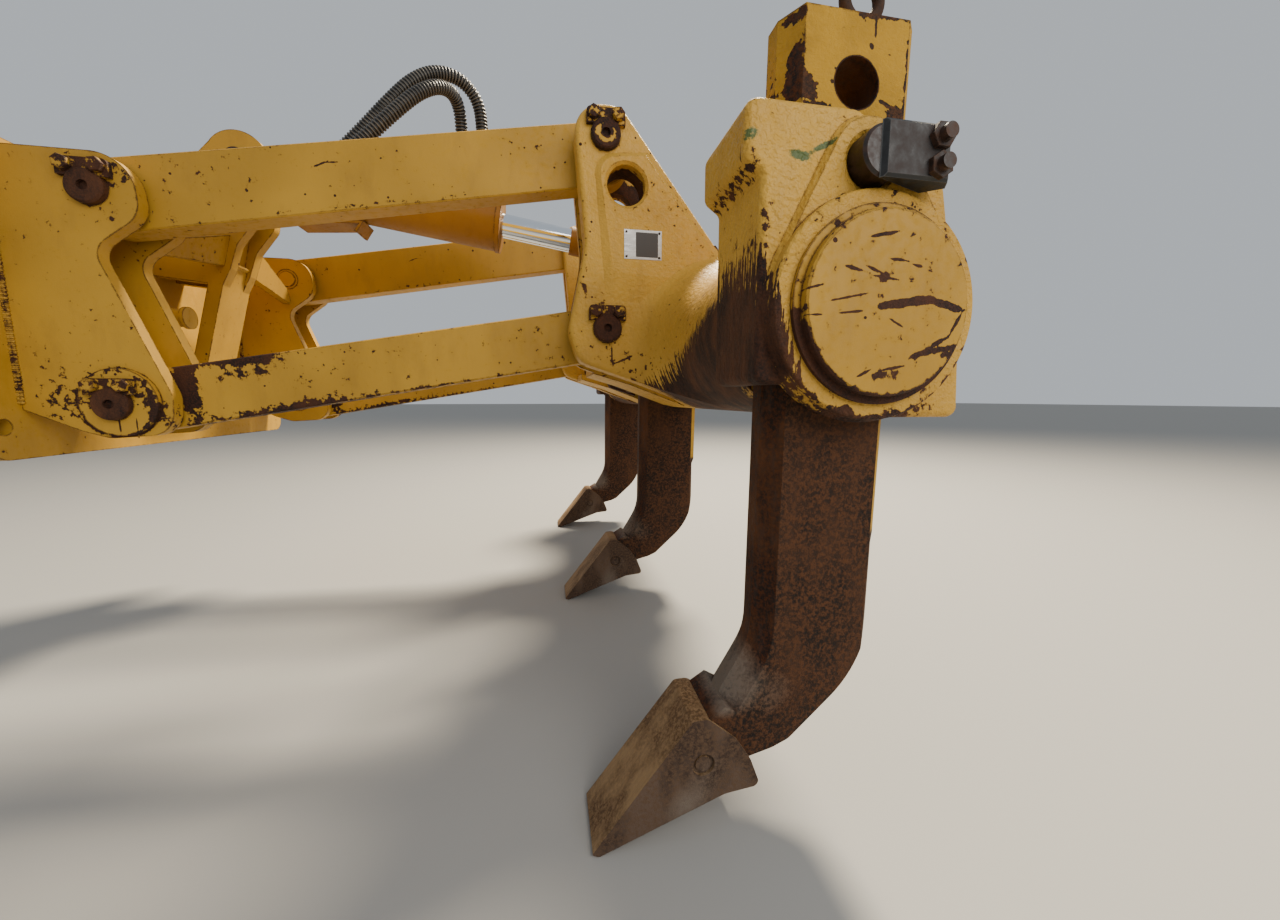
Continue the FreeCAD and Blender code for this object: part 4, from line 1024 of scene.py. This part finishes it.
nut_flats = 0.0306
nut_height = 0.0085
nut_face = 0.1403            # a keeper block's outer face from the middle of its shank
nut_x = 0.072                # the nuts behind the shank pin
nut_z = 0.0185               # above and below it
nut_turn = 0.3
nut_turn_step = 12.0
bm = bmesh.new()
blocks = ((-1.0, -1), (0.0, -1), (1.0, 1))  # the middle of each shank, and the side its block is on
for shank_y, side in blocks:
    for level in (-nut_z, nut_z):
        hexagon(bm, Vector((near_pin.x + nut_x, shank_y + side * nut_face, near_pin.z + level)), side,
                nut_flats, nut_height, nut_turn + nut_turn_step * level)
piece("keeper_block_nuts", bm, nut_steel, "beam")

# %% [markdown]
# ## Floor, light and camera
# The photograph was taken outdoors, under a bright sky with the sun behind the machine, so the near
# faces are lit by the sky, and the rear and top edges by the sun. A pale world gives the sky, a
# large warm lamp high at the rear gives the sun, and a soft lamp from the left opens the shade.

# %% Floor
floor_z = -0.9405            # just under the tips
floor_reach = 60
floor_bm = bmesh.new()
bmesh.ops.create_grid(floor_bm, x_segments=1, y_segments=1, size=floor_reach)
bmesh.ops.translate(floor_bm, verts=floor_bm.verts, vec=(0, 0, floor_z))
floor_mesh = bpy.data.meshes.new("floor")
floor_bm.to_mesh(floor_mesh)
floor_bm.free()
floor = bpy.data.objects.new("floor", floor_mesh)
bpy.context.scene.collection.objects.link(floor)
floor_paint, floor_tree = new_material("pale studio floor")[:2]
finished(floor_tree, add(floor_tree, "BsdfPrincipled", {"Base Color": linear("9a9894"),
                                                        "Roughness": 0.9}))
floor_mesh.materials.append(floor_paint)
floor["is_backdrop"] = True

# %% Light
world = bpy.data.worlds.new("soft sky")
world.use_nodes = True
bpy.context.scene.world = world
background = world.node_tree.nodes["Background"]
background.inputs["Color"].default_value = linear("d3d9df")
background.inputs["Strength"].default_value = 0.76

# %% Lamps
lit_place = Vector((1.2, 0, 0))


def area_light(name, place, size, power, tint):
    """Round lamp of a size in metres and a power in watts, aimed at the ripper."""
    lamp = bpy.data.lights.new(name, "AREA")
    lamp.shape = "DISK"
    lamp.size = size
    lamp.energy = power
    lamp.color = linear(tint)[:3]
    holder = bpy.data.objects.new(name, lamp)
    bpy.context.scene.collection.objects.link(holder)
    holder.location = place
    holder.rotation_euler = (lit_place - holder.location).to_track_quat("-Z", "Y").to_euler()


area_light("sun from the rear", (3.5, 2.6, 5.5), size=1.6, power=1800, tint="fff0d4")
area_light("bright clouds at the rear left", (2.7, -3.7, 1.7), size=3.0, power=110, tint="fffaf2")

# %% Camera
camera_data = bpy.data.cameras.new("camera")
camera_data.lens = 13.351
camera_data.sensor_width = 36.0
camera_data.clip_start = 0.01
camera_data.clip_end = 300
camera = bpy.data.objects.new("camera", camera_data)
bpy.context.scene.collection.objects.link(camera)
bpy.context.scene.camera = camera
camera_yaw = math.radians(11.274)
camera_pitch = math.radians(7.443)
camera.location = (1.1598, -1.7321, -0.2097)
looking = Vector((math.sin(camera_yaw) * math.cos(camera_pitch),
                  math.cos(camera_yaw) * math.cos(camera_pitch),
                  -math.sin(camera_pitch)))
camera.rotation_euler = looking.to_track_quat("-Z", "Y").to_euler()

# %% Finish
low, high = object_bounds()
